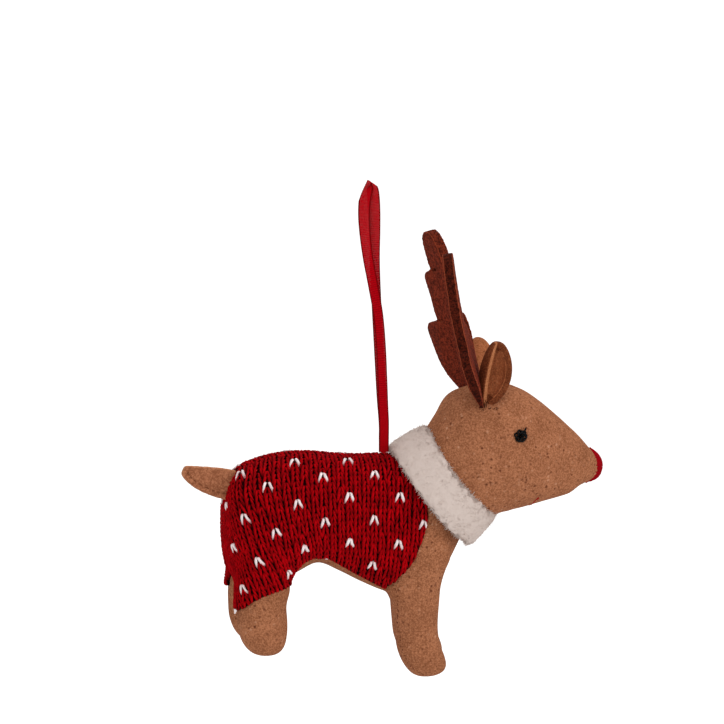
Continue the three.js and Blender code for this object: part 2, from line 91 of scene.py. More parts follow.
light_middle = spot(0, 0, -10)
for place, size, power in (
    ((-0.35, -0.75, 0.4), 0.5, 2.1),
    ((0.7, -0.5, 0.3), 0.6, 2.5),
    ((0.05, 0.1, 0.75), 0.6, 1.9),
):
    out = Vector(place)
    bpy.ops.object.light_add(
        type="AREA",
        location=light_middle + out,
        rotation=out.to_track_quat("Z", "Y").to_euler(),
    )
    bpy.context.object.data.size = size
    bpy.context.object.data.energy = power


def feed(tree, made, inputs):
    """Gives a shader node's inputs their values, or the outputs that they follow."""
    for key, value in inputs.items():
        if isinstance(value, bpy.types.NodeSocket):
            tree.links.new(value, made.inputs[key])
        else:
            made.inputs[key].default_value = value


def node(tree, kind, inputs=None, **settings):
    """A new shader node with its settings and inputs."""
    made = tree.nodes.new("ShaderNode" + kind)
    for key, value in settings.items():
        setattr(made, key, value)
    feed(tree, made, inputs or {})
    return made


def maths(tree, operation, *values):
    """One step of arithmetic on values or other nodes' outputs."""
    return node(tree, "Math", dict(enumerate(values)), operation=operation).outputs[0]


world = bpy.data.worlds.new("white_room")
bpy.context.scene.world = world
world.use_nodes = True
tree = world.node_tree
fill_light = tree.nodes["Background"]
feed(tree, fill_light, {"Color": (1, 0.985, 0.97, 1), "Strength": 0.52})
seen = node(tree, "Background", {"Color": (1, 1, 1, 1)})
rays = node(tree, "LightPath").outputs
direct = maths(tree, "MAXIMUM", rays["Is Camera Ray"], rays["Is Glossy Ray"])
direct = maths(tree, "MAXIMUM", direct, rays["Is Transmission Ray"])
choice = node(tree, "MixShader", {"Fac": direct, 1: fill_light.outputs[0], 2: seen.outputs[0]})
feed(tree, tree.nodes["World Output"], {"Surface": choice.outputs[0]})


def primitive(name, kind, **sizes):
    """One of the plain meshes, added by itself and named."""
    bpy.ops.object.select_all(action="DESELECT")
    getattr(bpy.ops.mesh, f"primitive_{kind}_add")(**sizes)
    piece = bpy.context.object
    piece.name = piece.data.name = name
    return piece


floor_size, floor_height, floor_glow = 6, -0.3, 0.62
floor = primitive("floor", "plane", size=floor_size, location=(0, 0, floor_height))
floor_paint = bpy.data.materials.new("pale_floor")
floor_paint.use_nodes = True
tree = floor_paint.node_tree
paint = tree.nodes["Principled BSDF"]
feed(tree, paint, {"Base Color": (0.88, 0.88, 0.88, 1), "Roughness": 0.9})
direct = node(tree, "LightPath").outputs["Is Camera Ray"]
glow = node(tree, "Emission", {"Strength": maths(tree, "MULTIPLY", direct, floor_glow)})
both = node(tree, "AddShader", {0: paint.outputs[0], 1: glow.outputs[0]})
feed(tree, tree.nodes["Material Output"], {"Surface": both.outputs[0]})
floor.data.materials.append(floor_paint)


# Hanging ribbon
# A narrow strip of sheer red organza with firm edges. It is folded over its hang point into a
# peak, its two runs lie on each other and are caught in the spine seam.
def flowing(rows, count):
    """Rows of numbers drawn out to count rows, on one smooth curve through them."""
    rows = np.array(rows, float)
    at = np.linspace(0, len(rows) - 1, count)
    k = np.clip(at.astype(int), 0, len(rows) - 2)
    f = (at - k)[:, None]
    p = np.vstack([2 * rows[0] - rows[1], rows, 2 * rows[-1] - rows[-2]])
    a, b, c, d = p[k], p[k + 1], p[k + 2], p[k + 3]
    return b + f / 2 * (c - a + f * (2 * a - 5 * b + 4 * c - d + f * (3 * (b - c) + d - a)))


def unit(vectors):
    """Vectors brought to a length of 1."""
    return vectors / np.linalg.norm(vectors, axis=-1, keepdims=True)


def points_of(piece):
    return np.array([v.co for v in piece.data.vertices])


def lay(piece, points):
    """Moves a piece's points, in metres."""
    piece.data.vertices.foreach_set("co", points.ravel())
    piece.data.update()


def laid_grid(name, across, along, place):
    """A grid whose points are laid by place(u, v), both arrays from 0 to 1."""
    piece = primitive(name, "grid", x_subdivisions=across, y_subdivisions=along, size=1)
    flat = points_of(piece) + 0.5
    lay(piece, place(flat[:, 0], flat[:, 1]))
    return piece


def covered(piece, finish):
    """Gives a piece one finish, shaded smoothly."""
    piece.data.materials.clear()
    piece.data.materials.append(finish)
    piece.data.polygons.foreach_set("use_smooth", [True] * len(piece.data.polygons))


def colour(red, green, blue):
    """A colour as its screen values from 0 to 255 show it."""
    shares = np.array([red, green, blue]) / 255
    linear = np.where(shares < 0.04045, shares / 12.92, ((shares + 0.055) / 1.055) ** 2.4)
    return (*linear, 1)


def new_material(name, roughness, sheen=0.0, specular=0.25):
    """A material and its node tree."""
    made = bpy.data.materials.new(name)
    made.use_nodes = True
    shader = made.node_tree.nodes["Principled BSDF"]
    feed(made.node_tree, shader, {
        "Roughness": roughness, "Sheen Weight": sheen, "Specular IOR Level": specular,
    })
    return made, made.node_tree


def ranged(tree, value, low, high, first=0.0, last=1.0):
    """A value's stretch from low to high, spread from first to last."""
    return node(tree, "MapRange", {0: value, 1: low, 2: high, 3: first, 4: last}).outputs[0]


def mixed(tree, share, first, second):
    """Two colours, of which a share of 1 is all the second."""
    inputs = {"Factor": share, "A": first, "B": second}
    return node(tree, "Mix", inputs, data_type="RGBA").outputs["Result"]


def dress(tree, surface, relief, strength, depth):
    """Gives a material its surface colour and its fine relief."""
    bump = node(tree, "Bump", {"Strength": strength, "Distance": depth, "Height": relief})
    shader = tree.nodes["Principled BSDF"]
    feed(tree, shader, {"Base Color": surface, "Normal": bump.outputs[0]})


ribbon_width, ribbon_hollow = 3.1, 0.9
ribbon_rings, ribbon_strips = 221, 8
ribbon_route = [
    (0, -0.25, 0), (0, -0.3, 4.5), (0, -0.45, 9.2), (-0.3, -0.75, 15), (-0.7, -1.1, 24),
    (-1.2, -1.35, 34), (-2.1, -1.5, 44), (-3.75, -1.5, 53.5), (-5.3, -1.5, 62), (-6.25, -1.35, 70),
    (-6.45, -1, 76.5), (-5.8, -0.5, 82), (-4.75, 0, 85.6), (-3.5, 0.5, 83), (-2.85, 1, 77),
    (-2.6, 1.35, 70), (-2.6, 1.5, 61), (-2.25, 1.5, 51), (-1.7, 1.4, 40), (-1.1, 1.15, 28),
    (-0.6, 0.85, 18), (0, 0.45, 9.2), (0, 0.3, 4.5), (0, 0.25, 0),
]
ribbon_line = flowing(ribbon_route, ribbon_rings)
steps = np.linalg.norm(np.diff(ribbon_line, axis=0), axis=1)
ribbon_along = np.concatenate([[0], np.cumsum(steps)])
from_crown = ribbon_along - ribbon_along[np.argmax(ribbon_line[:, 2])]
turning_length, open_length, open_more = 2.6, 18, 0.28
turn = np.pi / 2 * (1 + np.tanh(from_crown / turning_length))
along_ribbon = unit(np.gradient(ribbon_line, axis=0))
across_ribbon = np.stack([np.cos(turn), -np.sin(turn), 0 * turn], axis=1)
across_ribbon -= (across_ribbon * along_ribbon).sum(1)[:, None] * along_ribbon
across_ribbon = unit(across_ribbon)
cupped = np.cross(along_ribbon, across_ribbon)
lies_open = 1 + open_more * np.exp(-((from_crown / open_length) ** 2))


def on_ribbon(u, v):
    """Points of the ribbon, folded flat along two slanting creases at its peak."""
    k = np.rint(u * (len(ribbon_line) - 1)).astype(int)
    aside = ((v - 0.5) * ribbon_width * lies_open[k])[:, None] * across_ribbon[k]
    hollow = ((v - 0.5) ** 2)[:, None] * ribbon_hollow * cupped[k]
    laid = ribbon_line[k] + aside + hollow
    rear_crease = 81 + 1.8 * (laid[:, 0] + 7.4)
    front_crease = 85.8 - 0.71 * (laid[:, 0] + 4.74)
    laid[:, 2] = np.minimum(laid[:, 2], np.minimum(rear_crease, front_crease))
    return spots(laid)


ribbon = laid_grid("organza_ribbon", ribbon_rings - 1, ribbon_strips, on_ribbon)
weft_threads, warp_threads = 310, 12
organza, tree = new_material("red_organza", roughness=0.6, specular=0.03)
parts = node(tree, "SeparateXYZ", {0: node(tree, "UVMap").outputs[0]}).outputs
weft = maths(tree, "SINE", maths(tree, "MULTIPLY", parts["X"], 2 * math.pi * weft_threads))
warp = maths(tree, "SINE", maths(tree, "MULTIPLY", parts["Y"], 2 * math.pi * warp_threads))
weave = maths(tree, "MAXIMUM", weft, warp)
from_middle = maths(tree, "ABSOLUTE", maths(tree, "SUBTRACT", parts["Y"], 0.5))
edge = ranged(tree, from_middle, 0.36, 0.41)
threads = mixed(tree, ranged(tree, weave, -0.2, 0.9), colour(206, 0, 20), colour(150, 0, 8))
dress(tree, mixed(tree, edge, threads, colour(118, 0, 4)), weave, strength=0.5, depth=0.0001)
cover = maths(tree, "MAXIMUM", ranged(tree, weave, -0.6, 0.8, 0.97, 1.0), edge)
feed(tree, tree.nodes["Principled BSDF"], {"Alpha": cover})
covered(ribbon, organza)
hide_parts("ribbon_loop", "ribbon_root")
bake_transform(ribbon)


# Body and legs
# Two panels of tan felt, each cut in one with its legs, sewn along the back, chest and legs and
# turned right side out, with a felt strip between the legs. It is stuffed firmly with fibre.
def grain(tree, scale, detail, roughness=0.5, distortion=0.0):
    """Cloudy noise that is fixed to the piece."""
    return node(tree, "TexNoise", {
        "Vector": node(tree, "TexCoord").outputs["Object"], "Scale": scale, "Detail": detail,
        "Roughness": roughness, "Distortion": distortion,
    }).outputs[0]


def tan_felt_finish(name, light, dark, fleck, pale):
    """Pressed felt: soft mottling, fine fibre, and small dark and pale flecks."""
    made, tree = new_material(name, roughness=0.95, specular=0.08)
    cloudy = grain(tree, scale=130.0, detail=3.0, roughness=0.6)
    fibre = grain(tree, scale=1900.0, detail=3.0, roughness=0.75)
    where = node(tree, "TexCoord").outputs["Object"]
    dots = node(tree, "TexVoronoi", {"Vector": where, "Scale": 700.0, "Randomness": 1.0}).outputs
    shades = maths(tree, "MULTIPLY_ADD", fibre, 0.8, maths(tree, "MULTIPLY", cloudy, 0.2))
    surface = mixed(tree, ranged(tree, shades, 0.42, 0.58), dark, light)
    near = ranged(tree, dots["Distance"], 0.18, 0.4, 1.0, 0.0)
    gathered = maths(tree, "MULTIPLY", near, ranged(tree, cloudy, 0.42, 0.58, 0.25))
    pick = node(tree, "SeparateColor", {0: dots["Color"]}).outputs[0]
    for low, high, most, speck in ((0.4, 0.8, 0.85, fleck), (0.3, 0.0, 0.6, pale)):
        flecked = maths(tree, "MULTIPLY", gathered, ranged(tree, pick, low, high, 0.0, most))
        surface = mixed(tree, flecked, surface, speck)
    dress(tree, surface, fibre, strength=0.7, depth=0.0004)
    return made


tan_felt = tan_felt_finish(
    "tan_felt", colour(183, 120, 85), colour(136, 83, 54), colour(86, 40, 24),
    colour(214, 160, 128),
)


def reshaped(piece, change):
    """Runs change on a piece's mesh, opened for work on its faces."""
    work = bmesh.new()
    work.from_mesh(piece.data)
    change(work)
    work.to_mesh(piece.data)
    work.free()


def turned_outwards(work):
    bmesh.ops.recalc_face_normals(work, faces=work.faces)


def rounded(value, power=2.3):
    """The cosine or sine of an angle, on a section between a circle and a square."""
    return np.sign(value) * np.abs(value) ** (2 / power)


def stuffed(name, rows, segments, section):
    """A closed ball whose rings are laid on rows by section(row, across, up)."""
    rings = len(rows) - 1
    piece = primitive(name, "uv_sphere", segments=segments, ring_count=rings, radius=1)
    ball = points_of(piece)
    ring = np.rint(rings * np.arccos(np.clip(-ball[:, 2], -1, 1)) / np.pi)
    angle = np.arctan2(ball[:, 1], ball[:, 0])
    laid = section(rows[ring.astype(int)].T, rounded(np.cos(angle)), rounded(np.sin(angle)))
    lay(piece, spots(np.stack(laid, axis=1)))
    reshaped(piece, turned_outwards)
    return piece


def apply(piece, kind, **settings):
    """Adds a modifier to a piece and applies it."""
    bpy.ops.object.select_all(action="DESELECT")
    bpy.context.view_layer.objects.active = piece
    piece.select_set(True)
    change = piece.modifiers.new(kind.lower(), kind)
    for key, value in settings.items():
        setattr(change, key, value)
    bpy.ops.object.modifier_apply(modifier=change.name)


def evened(piece, grid, rounds):
    """Remakes a form of even faces, grid millimetres wide, and smooths it."""
    apply(piece, "REMESH", mode="VOXEL", voxel_size=grid / 1000)
    apply(piece, "SMOOTH", factor=0.5, iterations=rounds)


def lengthwise(row, across, up):
    """A section across the animal's length, leaning back by the row's angle."""
    x, top, bottom, half, lean = row
    rise = up * (top - bottom) / 2
    lean = np.radians(lean)
    return x - rise * np.sin(lean), across * half, (top + bottom) / 2 + rise * np.cos(lean)


torso_shares = [
    (0, 0.49, 0.49, 0), (0.016, 0.212, 0.77, 0.6), (0.052, 0.068, 0.92, 0.8),
    (0.109, 0.012, 0.968, 0.93), (0.202, -0.032, 0.92, 1), (0.295, -0.046, 0.834, 1),
    (0.375, -0.037, 0.773, 0.99), (0.468, -0.015, 0.85, 0.97), (0.561, -0.002, 0.945, 0.97),
    (0.668, 0, 1.035, 0.97), (0.761, 0.02, 1.06, 0.95), (0.84, 0.066, 1.01, 0.88),
    (0.907, 0.151, 0.88, 0.75), (0.96, 0.261, 0.72, 0.5), (0.99, 0.37, 0.61, 0.26),
    (1, 0.468, 0.468, 0),
]
torso_length, torso_height, torso_half = 75, 41, 15.5
spine, rump = -1.8, -49.9
torso_rows = [
    (rump + s * torso_length, spine - t * torso_height, spine - b * torso_height, h * torso_half, 0)
    for s, t, b, h in torso_shares
]
body = stuffed("body", flowing(torso_rows, count=73), segments=96, section=lengthwise)

front_leg_shares = [
    (-0.42, 0.3, 0, 0), (-0.38, 0.3, 0.6, 0.6), (-0.26, 0.34, 1.12, 0.92),
    (-0.08, 0.28, 1.24, 1), (0.02, 0.13, 1.19, 1), (0.1, 0.02, 1.16, 1), (0.2, -0.13, 1.19, 1),
    (0.36, -0.02, 1.01, 1), (0.56, 0.01, 0.93, 0.95), (0.72, 0.11, 0.96, 0.92),
    (0.84, 0.32, 0.97, 0.93), (0.93, 0.47, 0.84, 0.8), (0.98, 0.44, 0.5, 0.5), (1, 0.43, 0, 0),
]
rear_leg_shares = [
    (-0.6, 0.1, 0, 0), (-0.55, 0.1, 0.45, 0.6), (-0.4, 0.1, 0.8, 0.92), (-0.15, 0.1, 0.92, 1),
    (0.02, 0.08, 0.95, 1), (0.2, 0.08, 1, 1), (0.38, -0.02, 0.95, 1), (0.54, 0, 0.96, 1),
    (0.68, 0.02, 0.95, 0.97), (0.83, 0.07, 0.84, 0.9), (0.93, 0.12, 0.64, 0.72),
    (0.98, 0.15, 0.36, 0.42), (1, 0.16, 0, 0),
]
leg_top, leg_spacing = spine - 0.8 * torso_height, 2
legs = []
for name, shares, length, depth, width, ahead, side in (
    ("front_leg_right", front_leg_shares, 36, 14.4, 14, 8.6, -1),
    ("front_leg_left", front_leg_shares, 36, 14.4, 14, 10.7, 1),
    ("rear_leg_right", rear_leg_shares, 26.4, 16.2, 14.6, -40, -1),
    ("rear_leg_left", rear_leg_shares, 26.4, 16.2, 14.6, -40, 1),
):
    rows = [
        (leg_top - s * length, ahead + f * depth / 2, d * depth / 2, w * width / 2)
        for s, f, d, w in shares
    ]

    def upright(row, across, up, middle=side * (leg_spacing + width) / 2):
        """A section across a leg's height."""
        z, x, half_depth, half_width = row
        return x + across * half_depth, middle + up * half_width, z

    legs.append(stuffed(name, flowing(rows, count=37), segments=48, section=upright))

bpy.ops.object.select_all(action="DESELECT")
for piece in [*legs, body]:
    piece.select_set(True)
bpy.context.view_layer.objects.active = body
bpy.ops.object.join()
evened(body, grid=0.6, rounds=22)


def normals_of(piece):
    return np.array([v.normal for v in piece.data.vertices])


def pull_in_seam(piece, depth, reach):
    """Draws the surface in along the middle seam, in millimetres."""
    points, normals = points_of(piece), normals_of(piece)
    near = np.clip(1 - np.abs(points[:, 1]) * 1000 / reach, 0, 1) ** 2
    lay(piece, points - normals * (near * depth / 1000)[:, None])


def tree_of(piece):
    """A form's surface, ready to be searched."""
    faces = [f.vertices[:] for f in piece.data.polygons]
    return BVHTree.FromPolygons([v.co for v in piece.data.vertices], faces)


def copy_of(source, name):
    """A copy of a piece with its own mesh."""
    piece = source.copy()
    piece.data = source.data.copy()
    piece.name = piece.data.name = name
    bpy.context.scene.collection.objects.link(piece)
    return piece


pull_in_seam(body, depth=0.45, reach=1.7)
body_tree = tree_of(body)
spanned = copy_of(body, "spanned")
apply(spanned, "SMOOTH", factor=0.5, iterations=130)
spanned_tree = tree_of(spanned)
bpy.data.objects.remove(spanned)


def cut_across(piece, planes):
    """Adds an edge line where each plane (point, normal) crosses the piece."""

    def cuts(work):
        for point, normal in planes:
            all_of_it = [*work.verts, *work.edges, *work.faces]
            bmesh.ops.bisect_plane(work, geom=all_of_it, plane_co=point, plane_no=normal, dist=1e-7)

    reshaped(piece, cuts)


felt_thickness = 1.3


def panel_of(source, name, kept):
    """The faces of a form that belong to one panel, given the felt's thickness inwards."""

    def trim(work):
        spare = [f for f in work.faces if not kept(f.calc_center_median())]
        bmesh.ops.delete(work, geom=spare, context="FACES")

    piece = copy_of(source, name)
    reshaped(piece, trim)
    apply(piece, "SOLIDIFY", thickness=felt_thickness / 1000, offset=-1)
    covered(piece, tan_felt)
    return piece


gusset_half, gusset_top = 6.2 / 1000, spot(0, 0, -28).z
gusset_back, gusset_front = spot(-31, 0, 0).x, spot(-1, 0, 0).x
cut_across(body, [
    *(((0, y, 0), (0, 1, 0)) for y in (0, gusset_half, -gusset_half)),
    *(((x, 0, 0), (1, 0, 0)) for x in (gusset_back, gusset_front)),
])


def in_gusset(middle):
    along = gusset_back < middle.x < gusset_front
    return along and abs(middle.y) < gusset_half and middle.z < gusset_top


body_right = panel_of(body, "body_felt_right", lambda m: m.y < 0 and not in_gusset(m))
body_left = panel_of(body, "body_felt_left", lambda m: m.y > 0 and not in_gusset(m))
gusset = panel_of(body, "belly_felt_strip", in_gusset)
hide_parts("torso_felt_right", "front_leg_right_felt", "rear_leg_right_felt")
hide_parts("torso_felt_left", "front_leg_left_felt", "rear_leg_left_felt")
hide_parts("belly_gusset")
for piece in (body_right, body_left, gusset):
    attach(piece, "deer")


# Fill
# Loose white fibre, pushed in firmly through the last open stretch of seam. It shows nowhere, but
# it is what the felt lies on.
fill_inset = 1.6
fill_finish, tree = new_material("fibre_fill", roughness=1.0, sheen=0.4, specular=0.1)
wisps = grain(tree, scale=700.0, detail=4.0, distortion=1.5)
fill_tone = mixed(tree, wisps, colour(185, 180, 171), colour(213, 211, 206))
dress(tree, fill_tone, wisps, strength=0.6, depth=0.0006)


def fill_of(source, name, *stands_for):
    """The fill of a closed form, inside its felt."""
    piece = copy_of(source, name)
    lay(piece, points_of(piece) - normals_of(piece) * fill_inset / 1000)
    apply(piece, "DECIMATE", ratio=0.3)
    covered(piece, fill_finish)
    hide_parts(*stands_for)
    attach(piece, "deer")


fill_of(
    body, "body_fill", "torso_stuffing", "front_leg_left_stuffing",
    "front_leg_right_stuffing", "rear_leg_left_stuffing", "rear_leg_right_stuffing",
)


# Head
# Two felt panels sewn along the brow, nose and throat, turned and stuffed, and set on the neck
# under the collar.
head_shares = [
    (0, 0.84, 0.84, 0, 40), (0.01, 0.54, 1.13, 0.78, 40), (0.2, 0.27, 1.1, 0.93, 42),
    (0.251, 0.155, 1.055, 0.98, 34), (0.3, 0.02, 1.02, 1, 22), (0.435, -0.005, 0.98, 1, 5),
    (0.545, 0.05, 0.957, 0.93, 0), (0.65, 0.145, 0.925, 0.8, 0), (0.76, 0.275, 0.895, 0.6, 0),
    (0.822, 0.355, 0.872, 0.49, 0), (0.875, 0.425, 0.822, 0.39, 0), (0.947, 0.54, 0.78, 0.24, 0),
    (0.984, 0.6, 0.74, 0.15, 0), (1, 0.66, 0.66, 0, 0),
]
head_back, head_length, crown_height, head_height, head_half = 13.03, 55.7, 20.1, 41, 15.5
head_rows = [
    (
        head_back + s * head_length, crown_height - t * head_height,
        crown_height - b * head_height, h * head_half, lean,
    )
    for s, t, b, h, lean in head_shares
]
head = stuffed("head", flowing(head_rows, count=97), segments=128, section=lengthwise)
evened(head, grid=0.5, rounds=14)
pull_in_seam(head, depth=0.35, reach=1.5)
eye_at = (head_back + 0.488 * head_length, crown_height - 0.335 * head_height)
dimple_depth, dimple_reach = 1.3, 2.4
points, normals = points_of(head), normals_of(head)
eye_spot = spot(eye_at[0], 0, eye_at[1])
from_eye = np.hypot(points[:, 0] - eye_spot.x, points[:, 2] - eye_spot.z)
dimple = dimple_depth * np.exp(-((from_eye * 1000 / dimple_reach) ** 2))
lay(head, points - normals * dimple[:, None] / 1000)
head_tree = tree_of(head)
cut_across(head, [((0, 0, 0), (0, 1, 0))])
for name, side in (("right", -1), ("left", 1)):
    piece = panel_of(head, f"head_felt_{name}_panel", lambda m: m.y * side > 0)
    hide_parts("head_felt_" + name)
    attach(piece, "deer")
fill_of(head, "head_fill", "head_stuffing")
body_shape = body.data
for form in (body, head):
    bpy.data.objects.remove(form)


# Knitted sweater
# A saddle of red stockinette with a half-drop pattern of white stitches: two mirrored halves sewn
# along the spine and the rump, their cut edges turned under. Every stitch is a pair of woollen legs.
def on_form(form, points):
    """A form's nearest points and outward normals, in millimetres about the ribbon's seam."""
    found = [form.find_nearest(Vector(p)) for p in spots(points)]
    return in_mm([f[0] for f in found]), np.array([f[1] for f in found])


def on_spanned(points):
    """The same for the sweater, which spans the body's hollows and rests on its swells."""
    places, facing = on_form(spanned_tree, points)
    under, body_facing = on_form(body_tree, places)
    sunk = ((places - under) * body_facing).sum(1) < 0
    places[sunk] = under[sunk]
    return places, unit(facing + body_facing)


wale, course = 2.65, 1.88
guides = {
    (-15, 5): (-51.1, -0.7, -16.7), (-15, 13): (-50.6, -8.3, -25.8), (-15, 21): (-47, -13.3, -36.9),
    (-12, 1): (-46.4, -5.8, -4.2), (-12, 9): (-46.7, -13.5, -15.6), (-12, 17): (-41.4, -15.7, -27.9),
    (-9, 5): (-39.1, -12.7, -6.2), (-9, 13): (-36.5, -17, -19.9), (-9, 21): (-30.6, -11.7, -34.8),
    (-6, 1): (-29.3, -7.5, 0.1), (-6, 9): (-30.1, -16.6, -11.5), (-6, 17): (-27.1, -15.8, -26.6),
    (-3, 5): (-21.4, -12.5, -3.5), (-3, 13): (-22.1, -17.1, -17.7), (-3, 21): (-21.5, -14.5, -33),
    (0, 1): (-11.6, -5.6, -0.5), (0, 9): (-13.8, -15, -9.4), (0, 17): (-14.7, -16.3, -24.6),
    (3, 5): (-4.5, -10.2, -3.5), (3, 13): (-6.8, -16.4, -16.4), (3, 21): (-6.6, -14.8, -32.6),
    (6, 9): (1.9, -14.4, -10.1), (6, 17): (1, -16.7, -24.9),
    (9, 5): (11.2, -11.5, -6.5), (9, 13): (9.6, -15.8, -20.4), (9, 21): (8.6, -16, -35.4),
}
first_column, last_column, first_course, last_course = -25, 12, -7, 27
column, row = np.meshgrid(
    np.arange(first_column, last_column + 1), np.arange(first_course, last_course + 1),
    indexing="ij",
)


def from_guides(column, row):
    """A first guess at every stitch's place, from the guides around it."""

    def terms(c, k):
        return np.stack([c**0, c, c * c / 20, k, k * k / 20, c * k / 20], axis=-1)

    keys, places = np.array(list(guides), float), np.array(list(guides.values()))
    shape = np.linalg.lstsq(terms(keys[:, 0], keys[:, 1]), places, rcond=None)[0]
    return terms(column.astype(float), row.astype(float)) @ shape


def settled(cloth):
    """The stitches laid on what the sweater spans."""
    return on_spanned(cloth.reshape(-1, 3))[0].reshape(cloth.shape)


def pulled_together(cloth, length, steps, share):
    """Moves neighbouring stitches towards their proper distance."""
    di, dj = steps
    first, last = max(0, -dj), cloth.shape[1] - max(0, dj)
    near, far = cloth[:cloth.shape[0] - di, first:last], cloth[di:, first + dj:last + dj]
    run = far - near
    apart = np.linalg.norm(run, axis=2, keepdims=True)
    pull = run * share / 2 * (1 - length / np.maximum(apart, 0.01))
    near += pull
    far -= pull


cloth = settled(from_guides(column, row))
slant = math.hypot(wale, course)
stitch_pull, slant_pull, guide_pull = 0.8, 0.25, 0.6
pins = [(key[0] - first_column, key[1] - first_course, place) for key, place in guides.items()]
for settling in range(90):
    for pulling in range(4):
        pulled_together(cloth, wale, (1, 0), stitch_pull)
        pulled_together(cloth, course, (0, 1), stitch_pull)
        pulled_together(cloth, slant, (1, 1), slant_pull)
        pulled_together(cloth, slant, (1, -1), slant_pull)
        for i, j, place in pins:
            cloth[i, j] += (np.array(place) - cloth[i, j]) * guide_pull
    cloth = settled(cloth)
for smoothing in range(12):
    beside = (cloth[2:, 1:-1] + cloth[:-2, 1:-1] + cloth[1:-1, 2:] + cloth[1:-1, :-2]) / 4
    cloth[1:-1, 1:-1] += (beside - cloth[1:-1, 1:-1]) * 0.5
    cloth = settled(cloth)

sweater_shares = [
    (0.745, -0.4), (0.745, -0.1), (0.775, 0.07), (0.808, 0.24), (0.816, 0.39), (0.798, 0.5),
    (0.768, 0.656), (0.733, 0.773), (0.676, 0.892), (0.64, 0.965), (0.496, 0.806), (0.406, 0.698),
    (0.336, 0.681), (0.298, 0.71), (0.272, 0.78), (0.254, 0.834), (0.244, 0.88), (0.2, 0.893),
    (0.161, 0.907), (0.115, 0.938), (0.077, 0.976), (0.024, 1.06), (-0.1, 1.09), (-0.1, -0.4),
]
outline = np.array([(rump + s * torso_length, spine - d * torso_height) for s, d in sweater_shares])
slit_apex, slit_height, slit_half, slit_front = -30, 12, 7, -38
seam_gap, turned_under = 0.12, 0.7


def inside_outline(x, z):
    """How far inside the sweater's outline points are, and the outline's nearest points."""
    start, end = outline, np.roll(outline, -1, axis=0)
    run = end - start
    point = np.stack([x, z], axis=1)[:, None]
    share = np.clip(((point - start) * run).sum(2) / (run**2).sum(1), 0, 1)
    near = start + share[..., None] * run
    gaps = np.linalg.norm(point - near, axis=2)
    best = gaps.argmin(1)
    crossing = (start[:, 1] > z[:, None]) != (end[:, 1] > z[:, None])
    slope = run[:, 0] / np.where(np.abs(run[:, 1]) < 1e-9, 1, run[:, 1])
    before = x[:, None] < start[:, 0] + (z[:, None] - start[:, 1]) * slope
    inside = (crossing & before).sum(1) % 2 == 1
    each = np.arange(len(x))
    return np.where(inside, 1, -1) * gaps[each, best], near[each, best]


def seam_limit(x, z):
    """How near the right half may come to the middle: its seam, or the slit in the rump."""
    open_share = np.clip((slit_apex - z) / slit_height, 0, 1) ** 0.65 * (x < slit_front)
    return -seam_gap - slit_half * open_share


def pulled_in(points):
    """Points brought back to the outline, with how far outside it they were."""
    distance, near = inside_outline(points[:, 0], points[:, 2])
    out = distance < 0
    points = points.copy()
    points[out, 0], points[out, 2] = near[out, 0], near[out, 1]
    return points, np.maximum(-distance, 0)


def trimmed(points, normals):
    """Points of the right half kept within its cut edges and turned under there."""
    points, outside = pulled_in(points)
    points -= normals * np.minimum(outside, turned_under)[:, None]
    limit = seam_limit(points[:, 0], points[:, 2])
    over = points[:, 1] > limit
    beyond = np.minimum(points[over, 1] - limit[over], turned_under)
    points[over] -= normals[over] * beyond[:, None]
    points[over, 1] = limit[over]
    return points


def on_flank(places, inwards):
    """Leaves out the insides of the legs, which the sweater doesn't reach."""
    return (inwards < 0.3) | (places[:, 0] < -46) | (places[:, 2] > -20)


knit_lift = 0.55
place = cloth[1:-1, 1:-1].reshape(-1, 3)
across = ((cloth[2:, 1:-1] - cloth[:-2, 1:-1]) / 2).reshape(-1, 3)
upward = ((cloth[1:-1, :-2] - cloth[1:-1, 2:]) / 2).reshape(-1, 3)
facing = on_spanned(place)[1]
column, row = column[1:-1, 1:-1].ravel(), row[1:-1, 1:-1].ravel()
far_in = inside_outline(place[:, 0], place[:, 2])[0]
wanted = (far_in > -0.7) & (place[:, 1] < seam_limit(place[:, 0], place[:, 2]) + 1)
wanted &= on_flank(place, facing[:, 1])
motif = (column % 3 == 0) & ((row - 1 - 4 * ((column // 3) % 2)) % 8 == 0)
motif &= (column > -16) & ((column < 6) | (row > 1))
motif &= ((row < 24) | (column < -11)) & ((row > 0) | (column < -3))


def put_in(name, data):
    """A mesh put into the scene as a piece."""
    piece = bpy.data.objects.new(name, data)
    bpy.context.scene.collection.objects.link(piece)
    return piece


def mesh_piece(name, points, faces, finish, heights=None):
    """A smooth mesh of points in millimetres about the ribbon's seam."""
    data = bpy.data.meshes.new(name)
    data.from_pydata(spots(points).tolist(), [], faces.tolist())
    if heights is not None:
        data.attributes.new("height", "FLOAT", "POINT").data.foreach_set("value", heights)
    piece = put_in(name, data)
    covered(piece, finish)
    data.update()
    return piece


def corner_angles(sides):
    """The angles of the corners round a thread."""
    return np.linspace(0, 2 * np.pi, sides, endpoint=False)[:, None]


def rings_round(centre, beside, other, size, sides):
    """Rings of points round the steps of lines, from two directions across them."""
    angle = corner_angles(sides)
    turned = np.cos(angle) * beside[..., None, :] + np.sin(angle) * other[..., None, :]
    return centre[..., None, :] + size * turned


def by_tube(rings):
    """What belongs to the rings of many tubes, put in order, one tube after another."""
    return rings.transpose(1, 0, 2, 3).reshape(-1, rings.shape[3])


def tube_faces(count, rings, sides):
    """Quads of count tubes, each of so many rings and sides, one after another."""
    i, j = np.meshgrid(np.arange(rings - 1), np.arange(sides), indexing="ij")
    j2 = (j + 1) % sides
    one = np.stack(
        [i * sides + j, i * sides + j2, (i + 1) * sides + j2, (i + 1) * sides + j], axis=-1
    ).reshape(-1, 4)
    return (one[None] + np.arange(count)[:, None, None] * rings * sides).reshape(-1, 4)


